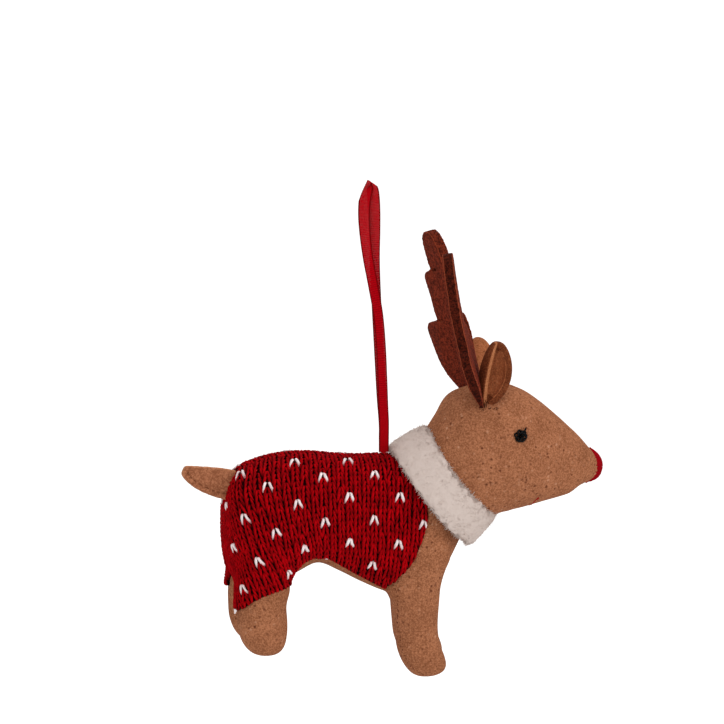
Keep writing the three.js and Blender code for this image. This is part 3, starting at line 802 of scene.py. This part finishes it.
stitch_path = [
    (0.41, -0.92, -0.6), (0.385, -0.56, -0.04), (0.31, -0.12, 0.28), (0.235, 0.32, 0.42),
    (0.165, 0.74, 0.42), (0.13, 1, 0.1), (0.12, 1.04, -0.4),
]
stitch_rings, stitch_sides, stitch_flatness = 10, 9, 0.85
ply_depth, ply_turns = 0.22, 1.2
unevenness = (0.045, 0.07, 0.09)


def knit_legs(chosen, radius, spread, shorten, lift):
    """Both plied legs of the chosen stitches, as (points, faces, heights)."""
    path = flowing(stitch_path, stitch_rings) * (1, shorten, 1)
    chance = np.random.default_rng(seed=11)
    tubes, levels = [], []
    for side in (-1, 1):
        uneven = chance.normal(0, unevenness, (chosen.sum(), 3)).T[:, None, :, None]
        aside = side * spread * path[:, 0, None, None] + uneven[0]
        along = path[:, 1, None, None] + uneven[1]
        centre = place[chosen] + aside * across[chosen] + along * upward[chosen]
        flat, out = on_spanned(centre.reshape(-1, 3))
        out = out.reshape(centre.shape)
        centre = flat.reshape(centre.shape) + out * (knit_lift + lift + path[:, 2, None, None])
        run = unit(np.gradient(centre, axis=0))
        out = unit(out - (out * run).sum(2, keepdims=True) * run)
        angle = corner_angles(stitch_sides)
        twist = side * np.linspace(0, 2 * np.pi * ply_turns, stitch_rings)[:, None, None, None]
        lobes = 1 + ply_depth * np.cos(3 * (angle - twist / 3))
        size = radius * (1 + uneven[2][..., None]) * lobes
        ring = rings_round(centre, np.cross(run, out), stitch_flatness * out, size, stitch_sides)
        outwards = np.repeat(out[:, :, None], stitch_sides, axis=2)
        tubes.append(trimmed(by_tube(ring), by_tube(outwards)))
        # These heights are what wool_finish turns into painted shade.
        level = path[:, 2, None, None, None] + stitch_flatness * size * np.sin(angle) + 0.5
        levels.append(by_tube(np.broadcast_to(level, ring.shape[:3] + (1,))).ravel())
    faces = tube_faces(int(chosen.sum()) * 2, stitch_rings, stitch_sides)
    return np.concatenate(tubes), faces, np.concatenate(levels)


corner_top, corner_height, corner_front, corner_depth, corner_rise = -36.5, 9, -41, 4, 3


def raised_corner(points):
    """Points of the left half, whose rear corner sits a little higher than the right one's."""
    points = points.copy()
    low = np.clip((corner_top - points[:, 2]) / corner_height, 0, 1)
    rear = np.clip((corner_front - points[:, 0]) / corner_depth, 0, 1)
    points[:, 2] += corner_rise * low * rear
    return points


def mirrored(points, faces, heights):
    return raised_corner(points * (1, -1, 1)), faces[:, ::-1], heights


def fibrous(tree):
    return grain(tree, scale=3200.0, detail=2.0, roughness=0.6)


def wool_finish(name, light, dark, shadow):
    """Plied wool, fibrous along it, with painted shade: it turns to the shadow colour where the yarn
    lies low, down the sides of each strand and where it dives under the next stitch.
    """
    made, tree = new_material(name, roughness=0.9, specular=0.04)
    fibre = fibrous(tree)
    both = maths(tree, "ADD", fibre, grain(tree, scale=420.0, detail=1.0))
    tone = mixed(tree, ranged(tree, both, 0.7, 1.3), dark, light)
    level = node(tree, "Attribute", attribute_name="height").outputs["Fac"]
    # Painted shade: the lower the yarn's height, the more of the shadow colour.
    sunk = ranged(tree, level, 0.5, 1.2, 1.0, 0.0)
    dress(tree, mixed(tree, sunk, tone, shadow), fibre, strength=0.6, depth=0.0002)
    return made


def plain_yarn(name, tone, roughness=0.9, specular=0.04):
    """Yarn or thread in one tone, fibrous along it."""
    made, tree = new_material(name, roughness, specular=specular)
    dress(tree, tone, fibrous(tree), strength=0.6, depth=0.0002)
    return made


red_wool = wool_finish("red_wool", colour(188, 0, 11), colour(122, 0, 6), colour(36, 0, 2))
white_wool = wool_finish(
    "white_wool", colour(255, 250, 250), colour(236, 212, 212), colour(186, 120, 122)
)
for name, chosen, radius, spread, shorten, lift, finish in (
    ("red", wanted & ~motif, 0.385, 1, 1, 0, red_wool),
    ("white", wanted & motif, 0.42, 1.16, 0.84, 0.25, white_wool),
):
    laid = knit_legs(chosen, radius, spread, shorten, lift)
    for side, (points, faces, heights) in (("right", laid), ("left", mirrored(*laid))):
        yarn = mesh_piece(f"{name}_stitches_{side}", points, faces, finish, heights)
        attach(yarn, "deer")

# A sheet laid just under the stitches within the sweater's outline. Its near-black red is painted
# shade that shows in the gaps between the stitches.
cloth_lift = 0.35
middles = in_mm([f.center for f in body_shape.polygons])
facings = np.array([f.normal for f in body_shape.polygons])
corners = in_mm([v.co for v in body_shape.vertices])
corner_out = np.array([v.normal for v in body_shape.vertices])
within = inside_outline(corners[:, 0], corners[:, 2])[0] > 0
clothed = np.array([within[list(f.vertices)].any() for f in body_shape.polygons])
clothed &= on_flank(middles, -facings[:, 1] * np.sign(middles[:, 1]))
clothed &= np.abs(middles[:, 1]) > -seam_limit(middles[:, 0], middles[:, 2]) - seam_gap
cloth_faces = [body_shape.polygons[i].vertices[:] for i in np.flatnonzero(clothed)]
used = sorted({i for f in cloth_faces for i in f})
number = {old: new for new, old in enumerate(used)}
cloth_points = pulled_in(corners[used] + corner_out[used] * cloth_lift)[0]
on_left = cloth_points[:, 1] > 0
cloth_points[on_left] = raised_corner(cloth_points[on_left])
cloth_data = bpy.data.meshes.new("sweater_shade_underlay")
cloth_data.from_pydata(
    spots(cloth_points).tolist(), [], [[number[i] for i in f] for f in cloth_faces]
)
# Painted shade between the stitches.
cloth_data.materials.append(plain_yarn("sweater_underlay_painted_shade", colour(34, 0, 2)))
cloth_data.update()
shade_underlay = put_in("sweater_shade_underlay", cloth_data)
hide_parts("knitted_sweater")
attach(shade_underlay, "deer")


# Leg seams
# Along the back edge of each front leg the needle has left a row of small holes, drawn as dark brown
# marks sunk into the felt that paint the shade in them, and a wisp of the sweater's white yarn hangs
# out below its rear corner.
thread_sides = 8


def thread(name, lines, radius, finish):
    """Threads along lines of points in millimetres, as one piece with tapered ends."""
    points, faces, count = [], [], 0
    for line in lines:
        line = np.array(line, float)
        run = unit(np.gradient(line, axis=0))
        beside = unit(np.cross(run, (0.31, 0.17, 0.93)))
        twist = np.arange(len(line))[:, None, None] * 0.5
        size = radius * (1 + 0.12 * np.cos(2 * corner_angles(thread_sides) - twist))
        ends = np.minimum(np.arange(len(line)), np.arange(len(line))[::-1])
        size = size * np.where(ends == 0, 0.35, 1)[:, None, None]
        ring = rings_round(line, beside, np.cross(run, beside), size, thread_sides)
        points.append(ring.reshape(-1, 3))
        faces.append(tube_faces(1, len(line), thread_sides) + count)
        count += len(line) * thread_sides
    piece = mesh_piece(name, np.concatenate(points), np.concatenate(faces), finish)
    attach(piece, "deer")
    return piece


def struck(form, start, way):
    """Where a line first meets a form, in millimetres, and the surface's normal there."""
    hit, out, _, _ = form.ray_cast(spot(*start), Vector(way))
    return in_mm(hit), np.array(out)


hole_count, well_outside = 25, 40
# Dark brown marks sunk into the felt: painted shade in the needle holes.
hole_shade_marks = plain_yarn("needle_hole_painted_shade", colour(86, 38, 22))
front_seam = [
    (0.2, -38.5), (1.4, -41.6), (2, -46), (2.2, -50.5), (2.6, -55), (3.3, -59.5), (4.6, -63.5),
    (6.8, -66.6), (9.8, -68.6),
]
hole_step = np.array([0.15, 0, -0.32])
chance = np.random.default_rng(seed=23)
for name, side, ahead in (("right", -1, 0), ("left", 1, 3.2)):
    holes = []
    for x, z in flowing(front_seam, hole_count) + chance.normal(0, 0.12, (hole_count, 2)):
        seat, out = struck(body_tree, (x + ahead, side * well_outside, z), (0, -side, 0))
        sunk = seat - out * 0.2
        holes.append([sunk - hole_step, seat + out * 0.02, sunk + hole_step])
    thread("front_leg_seam_" + name, holes, radius=0.19, finish=hole_shade_marks)

wisp_way = [(-47.3, -10, -45.5), (-47.5, -9.8, -46.1), (-46.9, -9.5, -46.3), (-47.3, -9.3, -45.8)]
loose_wool = plain_yarn("loose_white_wool", colour(250, 240, 240))
loose_lines = []
for strand in range(4):
    way = np.array(wisp_way) + chance.normal(0, 0.3, (4, 3))
    seats, outs = on_form(body_tree, flowing(way, 14))
    loose_lines.append(seats + outs)
thread("loose_white_yarn", loose_lines, radius=0.3, finish=loose_wool)


# Collar
# A band of white fleece with a short curled pile, laid round the neck with its ends meeting on
# the far side, and sewn through its middle into the neck seam.
collar_width, collar_thickness, collar_tilt = 12.8, 3.4, math.radians(38.5)
collar_rear, collar_front, collar_flat = 20.5, 18.5, 0.9
collar_sag, collar_pinch = 2.4, 0.17
collar_middle = np.array([19.4, 0, -10.6])
neck_line = np.array([math.cos(collar_tilt), 0, math.sin(collar_tilt)])
neck_up = np.array([-math.sin(collar_tilt), 0, math.cos(collar_tilt)])


def around_neck(turned, section):
    """Points of the band's skin: turned round the neck, section round from its inner middle."""
    along = -0.5 * np.sign(np.sin(section)) * np.abs(np.sin(section)) ** 0.75
    out = 0.5 - 0.56 * np.sign(np.cos(section)) * np.abs(np.cos(section)) ** 0.6
    radius = collar_rear + (collar_front - collar_rear) * (along + 0.5)
    radius = radius - collar_thickness * (1 - out)
    side = radius * np.cos(turned)
    flank = (side / collar_rear) ** 2
    down_line = (along - collar_pinch * flank * (along + 0.5)) * collar_width - collar_sag * flank
    return (
        collar_middle
        + (radius * np.sin(turned))[:, None] * neck_up
        + down_line[:, None] * neck_line
        + (side * collar_flat)[:, None] * (0, 1, 0)
    )


def collar_skin(turned, section):
    """Points of the band's skin and the directions out of it."""
    skin = around_neck(turned, section)
    turned_on = around_neck(turned + 0.01, section) - skin
    section_on = around_neck(turned, section + 0.01) - skin
    return skin, unit(np.cross(turned_on, section_on))


def rough(points, size, seed=0.0):
    """Smooth random heights from -1 to 1 over points, with bumps of the given size."""
    return np.array([noise.noise(Vector(p) / size + Vector((seed, 0, 0))) for p in points])


fleece, tree = new_material("white_fleece", roughness=0.95, specular=0.1)
curls = grain(tree, scale=1500.0, detail=4.0, roughness=0.7)
fleece_tone = mixed(tree, curls, colour(203, 186, 177), colour(217, 202, 194))
dress(tree, fleece_tone, curls, strength=0.5, depth=0.0003)

rings, sides = 260, 72
i, j = np.meshgrid(np.arange(rings), np.arange(sides), indexing="ij")
section = j.ravel() * 2 * np.pi / sides
band, outward = collar_skin(i.ravel() * 2 * np.pi / rings, section)
at_edge = np.abs(np.sin(section)) ** 6
clumps = 0.26 * rough(band, 2.4) + 0.1 * rough(band, 0.8, 7) + at_edge * 0.8 * rough(band, 1.5, 3)
i2, j2 = (i + 1) % rings, (j + 1) % sides
faces = np.stack([i * sides + j, i2 * sides + j, i2 * sides + j2, i * sides + j2], axis=-1)
collar = mesh_piece(
    "fleece_collar_band", band + outward * clumps[:, None], faces.reshape(-1, 4), fleece
)
reshaped(collar, turned_outwards)


hair_rings, hair_sides = 4, 3


def hairs(roots, outs, lengths, radius, bend, seed):
    """Short bent fibres that taper to a point, one on each root, as (points, faces)."""
    chance = np.random.default_rng(seed)
    lean = chance.normal(size=roots.shape) * bend
    curl = chance.normal(size=roots.shape) * bend
    t = np.linspace(0, 1, hair_rings)[:, None, None]
    way = unit(outs + lean)
    centre = roots + lengths[:, None] * (t * way + t**2 * 0.6 * curl)
    beside = unit(np.cross(way, chance.normal(size=roots.shape)))
    thick = radius * (1 - 0.85 * t[:, :, None] ** 1.5)
    ring = rings_round(centre, beside, np.cross(way, beside), thick, hair_sides)
    return by_tube(ring), tube_faces(len(roots), hair_rings, hair_sides)


def collar_hairs(name, turned, section, lengths, radius, sunk, bend, seed):
    """Hairs on the band's skin, their roots sunk into it."""
    roots, outs = collar_skin(turned, section)
    laid = hairs(roots - outs * sunk, outs, lengths, radius, bend, seed)
    return mesh_piece(name, *laid, fleece)


pile_count, fuzz_count, inner_face = 11000, 2600, 0.9
chance = np.random.default_rng(seed=5)
turned = chance.uniform(0, 2 * np.pi, pile_count)
section = chance.uniform(inner_face, 2 * np.pi - inner_face, pile_count)
lengths = chance.uniform(0.3, 0.65, pile_count)
collar_pile = collar_hairs(
    "fleece_collar_pile", turned, section, lengths, radius=0.09, sunk=0.15, bend=0.6, seed=6
)
off_edge = chance.normal(0, 0.16, fuzz_count)
section = off_edge + np.where(chance.random(fuzz_count) < 0.5, 0.5, 1.5) * np.pi
turned = chance.uniform(0, 2 * np.pi, fuzz_count)
lengths = chance.uniform(0.5, 1.2, fuzz_count)
collar_fuzz = collar_hairs(
    "fleece_collar_edge_fuzz", turned, section, lengths, radius=0.13, sunk=0.1, bend=0.5, seed=8
)
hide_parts("fleece_collar")
for piece in (collar, collar_pile, collar_fuzz):
    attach(piece, "deer")


# Ears
# Two petals of tan felt, each gathered into a deep cup whose edges come near each other, and sewn
# into the crown at the foot. Each opens outwards and a little forwards.
ear_height, ear_cup, ear_felt, ear_wrap, ear_opening, ear_belly = 19.4, 4, 2.1, 123, 10, 1.1
ear_foot = (30.3, -10, 16.6)
# Three copies of one felt, darker brown than the head's, that differ by painted light and shade. The
# outside copy carries the felt's darker brown. The lightened copy is painted light against the shade
# in the cup, and the lighter cut-edge copy is painted light on the rim.
ear_outside = tan_felt_finish(
    "ear_felt_outside", colour(134, 72, 42), colour(96, 46, 24), colour(56, 24, 12),
    colour(160, 100, 66),
)
ear_lightened_felt = tan_felt_finish(
    "ear_felt_painted_light", colour(186, 112, 72), colour(146, 84, 50), colour(84, 40, 22),
    colour(204, 136, 96),
)
ear_rim_lightened = tan_felt_finish(
    "ear_cut_edge_painted_light", colour(196, 126, 84), colour(158, 96, 60), colour(120, 66, 38),
    colour(200, 132, 92),
)


def turned_by(points, axis, degrees):
    """Points turned about an axis through the origin."""
    return points @ np.array(Matrix.Rotation(math.radians(degrees), 3, axis)).T


# The far ear wears the lightened copy outside as well as inside, as painted light.
for name, side, lean, splay, outside in (
    ("right", -1, 8, 8, ear_outside), ("left", 1, 14, 52, ear_lightened_felt)
):

    def on_crown(points):
        """Points of an upright ear, leant, splayed and set on its foot."""
        placed = turned_by(turned_by(points, "Y", lean), "X", splay) + ear_foot
        return spots(placed * (1, -side, 1))

    def petal(u, v):
        belly = np.sin(np.pi * v) ** 0.6
        radius = ear_cup * (0.1 + 0.9 * belly)
        angle = np.radians(90 + ear_opening + (2 * u - 1) * ear_wrap)
        x, y = radius * np.cos(angle) + ear_belly * belly, radius * np.sin(angle)
        return on_crown(np.stack([x, y, v * ear_height], axis=1))

    ear = laid_grid("ear_" + name + "_petal", across=40, along=40, place=petal)
    if side < 0:
        ear.data.flip_normals()
    for felt in (outside, ear_rim_lightened, ear_lightened_felt):
        ear.data.materials.append(felt)
    apply(ear, "SOLIDIFY", thickness=ear_felt / 1000, offset=0, material_offset_rim=1)
    v = np.linspace(0, 1, 5)
    core = on_crown(np.stack([ear_belly * np.sin(np.pi * v) ** 0.6, 0 * v, v * ear_height], axis=1))
    # Faces that look into the cup take the lightened copy. Rim faces towards the nose take the
    # darker outside copy, as painted shade.
    for face in ear.data.polygons:
        middle = np.array(face.center)
        nearest = core[np.linalg.norm(core - middle, axis=1).argmin()]
        if face.material_index == 0 and np.dot(face.normal, middle - nearest) < 0:
            face.material_index = 2
        elif face.material_index == 1 and middle[0] > nearest[0]:
            face.material_index = 0
    apply(ear, "SUBSURF", levels=1, render_levels=1)
    ear.data.polygons.foreach_set("use_smooth", [True] * len(ear.data.polygons))
    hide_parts("ear_" + name)
    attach(ear, "deer")


# Antlers
# Cut from dark brown felt about three millimetres thick, with two outer prongs and one inner
# prong, and sewn to the crown by their feet.
def felt_slab(name, cut, felt, basis, foot, grid, rounding, finish, bend=None, thin=None):
    """An outline cut from thick felt: its two directions and its normal are the basis."""
    across, up, normal = (np.array(b) for b in basis)
    edge = flowing([*cut, cut[0]], 6 * len(cut) + 1)[:-1]
    flat = edge[:, :1] * across + edge[:, 1:] * up + foot
    work = bmesh.new()
    front = work.faces.new([work.verts.new(p) for p in spots(flat - normal * felt / 2)])
    grown = bmesh.ops.extrude_face_region(work, geom=[front])["geom"]
    moved = [v for v in grown if isinstance(v, bmesh.types.BMVert)]
    bmesh.ops.translate(work, verts=moved, vec=Vector(normal * felt / 1000))
    turned_outwards(work)
    data = bpy.data.meshes.new(name)
    work.to_mesh(data)
    work.free()
    piece = put_in(name, data)
    evened(piece, grid, rounding)
    points, normals = points_of(piece), normals_of(piece)
    placed = in_mm(points) - foot
    if thin:
        points -= ((placed @ normal) * (1 - thin(placed @ up)))[:, None] * normal / 1000
    if bend:
        points += bend(placed @ across, placed @ up)[:, None] * normal / 1000
    uneven = 0.07 * rough(points * 1000, 1.1) + 0.05 * rough(points * 1000, 0.5, 3)
    piece.data.vertices.foreach_set("co", (points + normals * uneven[:, None] / 1000).ravel())
    cut_edge = piece.data.attributes.new("cut_edge", "FLOAT", "POINT")
    cut_edge.data.foreach_set("value", 1 - np.abs(normals @ normal))
    covered(piece, finish)
    return piece


def cut_felt_finish(name, face_light, face_dark, rim, cut_light, cut_dark):
    """Thick felt with a painted highlight along the rim where face meets cut edge, and a cut edge in
    tones of its own.
    """
    made, tree = new_material(name, roughness=0.95, specular=0.06)
    fibre = grain(tree, scale=2400.0, detail=3.0, roughness=0.7)
    cloudy = grain(tree, scale=1000.0, detail=3.0, roughness=0.7)
    both = maths(tree, "ADD", cloudy, fibre)
    spread = ranged(tree, both, 0.88, 1.12)
    face_tone = mixed(tree, spread, face_dark, face_light)
    cut_tone = mixed(tree, spread, cut_dark, cut_light)
    cut = node(tree, "Attribute", attribute_name="cut_edge").outputs["Fac"]
    surface = mixed(tree, ranged(tree, cut, 0.45, 0.8), face_tone, cut_tone)
    # Painted highlight: a band of the rim colour where the surface turns from face to cut edge.
    off_rim = maths(tree, "ABSOLUTE", maths(tree, "SUBTRACT", cut, 0.42))
    surface = mixed(tree, ranged(tree, off_rim, 0.0, 0.26, 0.9, 0.0), surface, rim)
    dress(tree, surface, fibre, strength=0.6, depth=0.0003)
    return made


antler_height, antler_reach, antler_felt = 52.4, 25, 3.4
antler_root = [(-0.13, -0.01), (0.02, -0.055), (0.16, -0.03), (0.29, 0.04), (0.48, 0.15)]
antler_top = [
    (0.41, 0.86), (0.37, 0.915), (0.24, 0.945), (0.1, 0.935), (-0.02, 0.885), (-0.1, 0.81),
    (-0.13, 0.7), (-0.14, 0.48), (-0.21, 0.46), (-0.28, 0.42), (-0.32, 0.37), (-0.34, 0.31),
    (-0.32, 0.23), (-0.24, 0.13), (-0.15, 0.06),
]
shallow_prongs = [
    (0.62, 0.285), (0.61, 0.335), (0.53, 0.365), (0.46, 0.372), (0.44, 0.4), (0.45, 0.48),
    (0.48, 0.62), (0.45, 0.665), (0.4, 0.685), (0.38, 0.72), (0.39, 0.78),
]
deep_prongs = [
    (0.62, 0.285), (0.625, 0.335), (0.56, 0.362), (0.45, 0.374), (0.33, 0.385), (0.2, 0.388),
    (0.08, 0.396), (0.2, 0.404), (0.3, 0.393), (0.36, 0.41), (0.42, 0.54), (0.47, 0.62),
    (0.485, 0.65), (0.46, 0.672), (0.4, 0.688), (0.3, 0.699), (0.2, 0.701), (0.05, 0.708),
    (0.19, 0.717), (0.29, 0.707), (0.35, 0.725), (0.39, 0.8),
]
upper_slit, lower_slit = 0.713, 0.4
# Two copies of one brown felt. Their cut edges are darker than the faces, partly as painted shade,
# with more of that shade on the near antler's copy than on the far one's. Both carry the painted
# highlight on the rim.
brown_felt = cut_felt_finish(
    "brown_felt", colour(134, 52, 33), colour(70, 22, 12), colour(156, 76, 50),
    colour(84, 28, 15), colour(34, 8, 4),
)
less_shaded_cut_felt = cut_felt_finish(
    "brown_felt_less_shaded_cut", colour(138, 54, 34), colour(70, 22, 12), colour(146, 66, 42),
    colour(116, 44, 27), colour(58, 18, 10),
)
lean_back, splay_out, antler_turn = (math.radians(a) for a in (11.2, 0.5, 12))
right_foot = (head_back + 0.275 * head_length, -0.6 * head_half, crown_height - 0.05 * head_height)
antler_feet = []
for name, side, bow, prong_step, inner_fold, prongs, height_share, extra_lean, finish in (
    ("right", -1, 1.6, 0, 0.6, shallow_prongs, 0.975, 1, brown_felt),
    ("left", 1, 0, 0.9, 0, deep_prongs, 1, 0, less_shaded_cut_felt),
):

    def bent(out, up):
        """The whole antler bows back and each lower prong is pressed out of the one above."""
        share = np.clip(up / antler_height, 0, 1)
        reached = np.clip(out / antler_reach / 0.3, 0, 1)
        fall = 0.035 * np.clip(out / antler_reach, 0, 0.5)
        lower = (share < upper_slit - fall) * 1.0 + (share < lower_slit - fall) * 1.0
        folded = inner_fold * np.clip((-out / antler_reach - 0.13) / 0.18, 0, 1)
        return bow * np.sin(np.pi * share) + prong_step * reached * lower - folded

    def pinched(up):
        """The foot is drawn thin by its stitches."""
        return 0.35 + 0.65 * np.clip((up + 1) / 7, 0, 1) ** 0.8

    lean = lean_back + math.radians(extra_lean)
    stem = Vector((-math.tan(lean), -math.tan(splay_out), 1)).normalized()
    face_on = Vector((-math.sin(antler_turn), -math.cos(antler_turn), 0)).cross(stem).normalized()
    outwards = stem.cross(face_on)
    mirror = np.array([1, -side, 1])
    foot = np.array(right_foot) * mirror
    shares = [*antler_root, *prongs, *antler_top]
    cut = [(out * antler_reach, up * antler_height * height_share) for out, up in shares]
    basis = [np.array(b) * mirror for b in (outwards, stem, face_on)]
    antler = felt_slab(
        f"antler_{name}_felt", cut, antler_felt, basis, foot, grid=0.36, rounding=9,
        finish=finish, bend=bent, thin=pinched,
    )
    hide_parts("antler_" + name)
    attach(antler, "deer")
    antler_feet.append(foot)

brown_thread = plain_yarn("brown_thread", colour(52, 21, 10))
for name, foot in zip(("right", "left"), antler_feet):
    chance = np.random.default_rng(seed=17)
    stitches = []
    side = np.sign(foot[1])
    for ahead in np.linspace(-1.2, 2, 5):
        low, out = on_form(head_tree, [foot + (ahead * 0.7, side * 3.5, -0.8)])
        top = foot + (ahead * 0.6, side * 1.9, 1 + chance.uniform(-0.4, 0.4))
        over = (low[0] + top) / 2 + out[0] * 0.5
        stitches.append(flowing([low[0] - out[0] * 0.3, low[0] + out[0] * 0.25, over, top], 9))
    for loose in range(7):
        start = foot + (chance.uniform(0, 5), side * chance.uniform(3.5, 5.5), -1)
        seat, out = on_form(head_tree, [start])
        way = np.array([chance.uniform(-0.8, 1), side * 0.4, chance.uniform(-0.8, 0.3)])
        end = on_form(head_tree, [seat[0] + way])[0][0] + out[0] * 0.15
        over = (seat[0] + end) / 2 + out[0] * 0.2
        stitches.append(flowing([seat[0] - out[0] * 0.3, over, end], 7))
    thread(
        "antler_stitches_" + name, stitches, radius=0.11, finish=brown_thread
    )


# Nose
# Red thread laid in satin stitches across the tip of the muzzle, over the seam.
red_thread = plain_yarn("red_thread", colour(150, 6, 18))
nose_stitches, nose_top, nose_sweep, nose_half = 34, 39, 98, 2.7
nose_middle = np.array([60.5, 0, -6.2])
chance = np.random.default_rng(seed=3)
nose_lines = []
for share in np.linspace(0, 1, nose_stitches):
    tilt = math.radians(nose_top - nose_sweep * share)
    out = np.array([math.cos(tilt), 0, math.sin(tilt)])
    middling = math.sin(math.pi * min(max(share, 0.04), 0.96))
    half = nose_half * middling**0.5 + chance.uniform(-0.3, 0.3)
    line = []
    for y in np.linspace(-half, half, 13):
        seat = struck(head_tree, nose_middle + out * 30 + (0, y, 0), -out)[0]
        inward = abs(y) / half
        depth = 0.1 + 1.05 * middling**0.7 * (1 - inward**2.2) - 0.5 * inward**8
        line.append(seat + out * depth)
    nose_lines.append(line)
nose = thread("nose_stitches", nose_lines, radius=0.3, finish=red_thread)
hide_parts("nose_cap")


# Eyes
# A knot of black thread wound on the side of the head and pulled down into the felt.
black_thread = plain_yarn("black_thread", colour(3, 2, 2), roughness=0.42, specular=0.1)
for name, side in (("right", -1), ("left", 1)):
    seat, out = struck(head_tree, (eye_at[0], side * well_outside, eye_at[1]), (0, -side, 0))
    along = unit(np.cross((0, 0, 1), out) * -side)
    upright = np.cross(out, along) * -side
    t = np.linspace(0, 8 * np.pi, 230)
    reach = 1.12 + 0.6 * np.cos(1.75 * t) + 0.22 * np.cos(4.3 * t + 1)
    rise = 0.5 + 0.62 * np.sin(1.75 * t + 0.4)
    knot = (
        seat + (reach * np.cos(t))[:, None] * along * 1.1 + (reach * np.sin(t))[:, None] * upright
        + rise[:, None] * out
    )
    t = np.linspace(0, 1, 8)[:, None]
    end = seat + out * (0.9 + 0.4 * t) + along * (0.7 + 0.9 * t) + upright * (0.7 + 1.9 * t**1.3)
    eye = thread(
        f"eye_{name}_knot", [knot, end], radius=0.3, finish=black_thread
    )
    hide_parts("eye_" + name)


# Mouth
# One stitch of red thread that runs round under the muzzle, both ends pulled into the felt.
mouth_way = [(47.3, -9.2, -14.2), (46.4, -8.3, -15.2), (45.8, -6.8, -16.3), (45.4, -3.5, -18)]
mouth_way += [(45.3, 0, -19)] + [(x, -y, z) for x, y, z in reversed(mouth_way)]
mouth_steps = 55
mouth_line, mouth_out = on_form(head_tree, flowing(mouth_way, mouth_steps))
to_end = np.abs(np.linspace(-1, 1, mouth_steps))
shown = np.exp(-(((to_end - 0.9) / 0.09) ** 2))
mouth_line = mouth_line + mouth_out * (0.3 * shown - 0.16 - 0.5 * to_end**12)[:, None]
mouth = thread("mouth_red_stitch", [mouth_line], radius=0.3, finish=red_thread)
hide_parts("mouth_stitch")


# Tail
# Two leaves of felt sewn flat on each other round their edge and caught in the rump seam.
tail_length, tail_height, tail_felt, tail_drop = 16.5, 9.3, 1.4, 3.6
tail_shares = [
    (0, 0), (0, -1), (0.3, -0.9), (0.51, -0.765), (0.76, -0.53), (0.935, -0.26), (1.02, -0.05),
    (1.01, 0.1), (0.965, 0.235), (0.88, 0.245), (0.606, 0.196), (0.32, 0.13), (0.07, 0.04),
]
tail_root = rump + 0.045 * torso_length
tail_cut = [(tail_root - a * tail_length, u * tail_height - tail_drop) for a, u in tail_shares]
# The tail felt's rim carries the painted highlight, and its cut edges are a little lighter than its
# faces.
tail_tan = cut_felt_finish(
    "tail_felt", colour(184, 120, 86), colour(142, 86, 58), colour(206, 146, 106),
    colour(200, 138, 98), colour(164, 104, 70),
)
seam_inset, seam_depth, seam_reach = 1.7, 0.32, 0.45
left_leaf_lower, leaf_offset = 0.45, 0.8
tail_edge = flowing(tail_cut[1:9], 120)
edge_run = np.gradient(tail_edge, axis=0)
seam_line = tail_edge + unit(np.stack([edge_run[:, 1], -edge_run[:, 0]], axis=1)) * seam_inset
for name, side in (("right", -1), ("left", 1)):
    leaf = felt_slab(
        "tail_leaf_" + name, tail_cut, tail_felt, [(1, 0, 0), (0, 0, 1), (0, 1, 0)],
        np.array([0, side * leaf_offset, -left_leaf_lower * (side > 0)]), grid=0.3, rounding=3,
        finish=tail_tan,
    )
    points, normals = points_of(leaf), normals_of(leaf)
    flat = in_mm(points)[:, [0, 2]]
    from_seam = np.linalg.norm(flat[:, None] - seam_line[None, ::3], axis=2).min(1)
    sewn_in = seam_depth * np.exp(-((from_seam / seam_reach) ** 2)) * (normals[:, 1] * side > 0.5)
    lay(leaf, points - normals * sewn_in[:, None] / 1000)
    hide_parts("tail_layer_" + name)
    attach(leaf, "deer")

tan_thread = plain_yarn("tan_thread", colour(128, 76, 48))
stitch_steps, stitch_every = 7, 9
tail_stitches = []
for start in range(2, 110, stitch_every):
    x, z = seam_line[start:start + stitch_steps].T
    rise = 1.25 + 0.18 * np.sin(np.linspace(-0.5, np.pi + 0.5, stitch_steps))
    tail_stitches += [np.stack([x, side * rise, z], axis=1) for side in (-1, 1)]
thread("tail_running_stitch", tail_stitches, radius=0.15, finish=tan_thread)
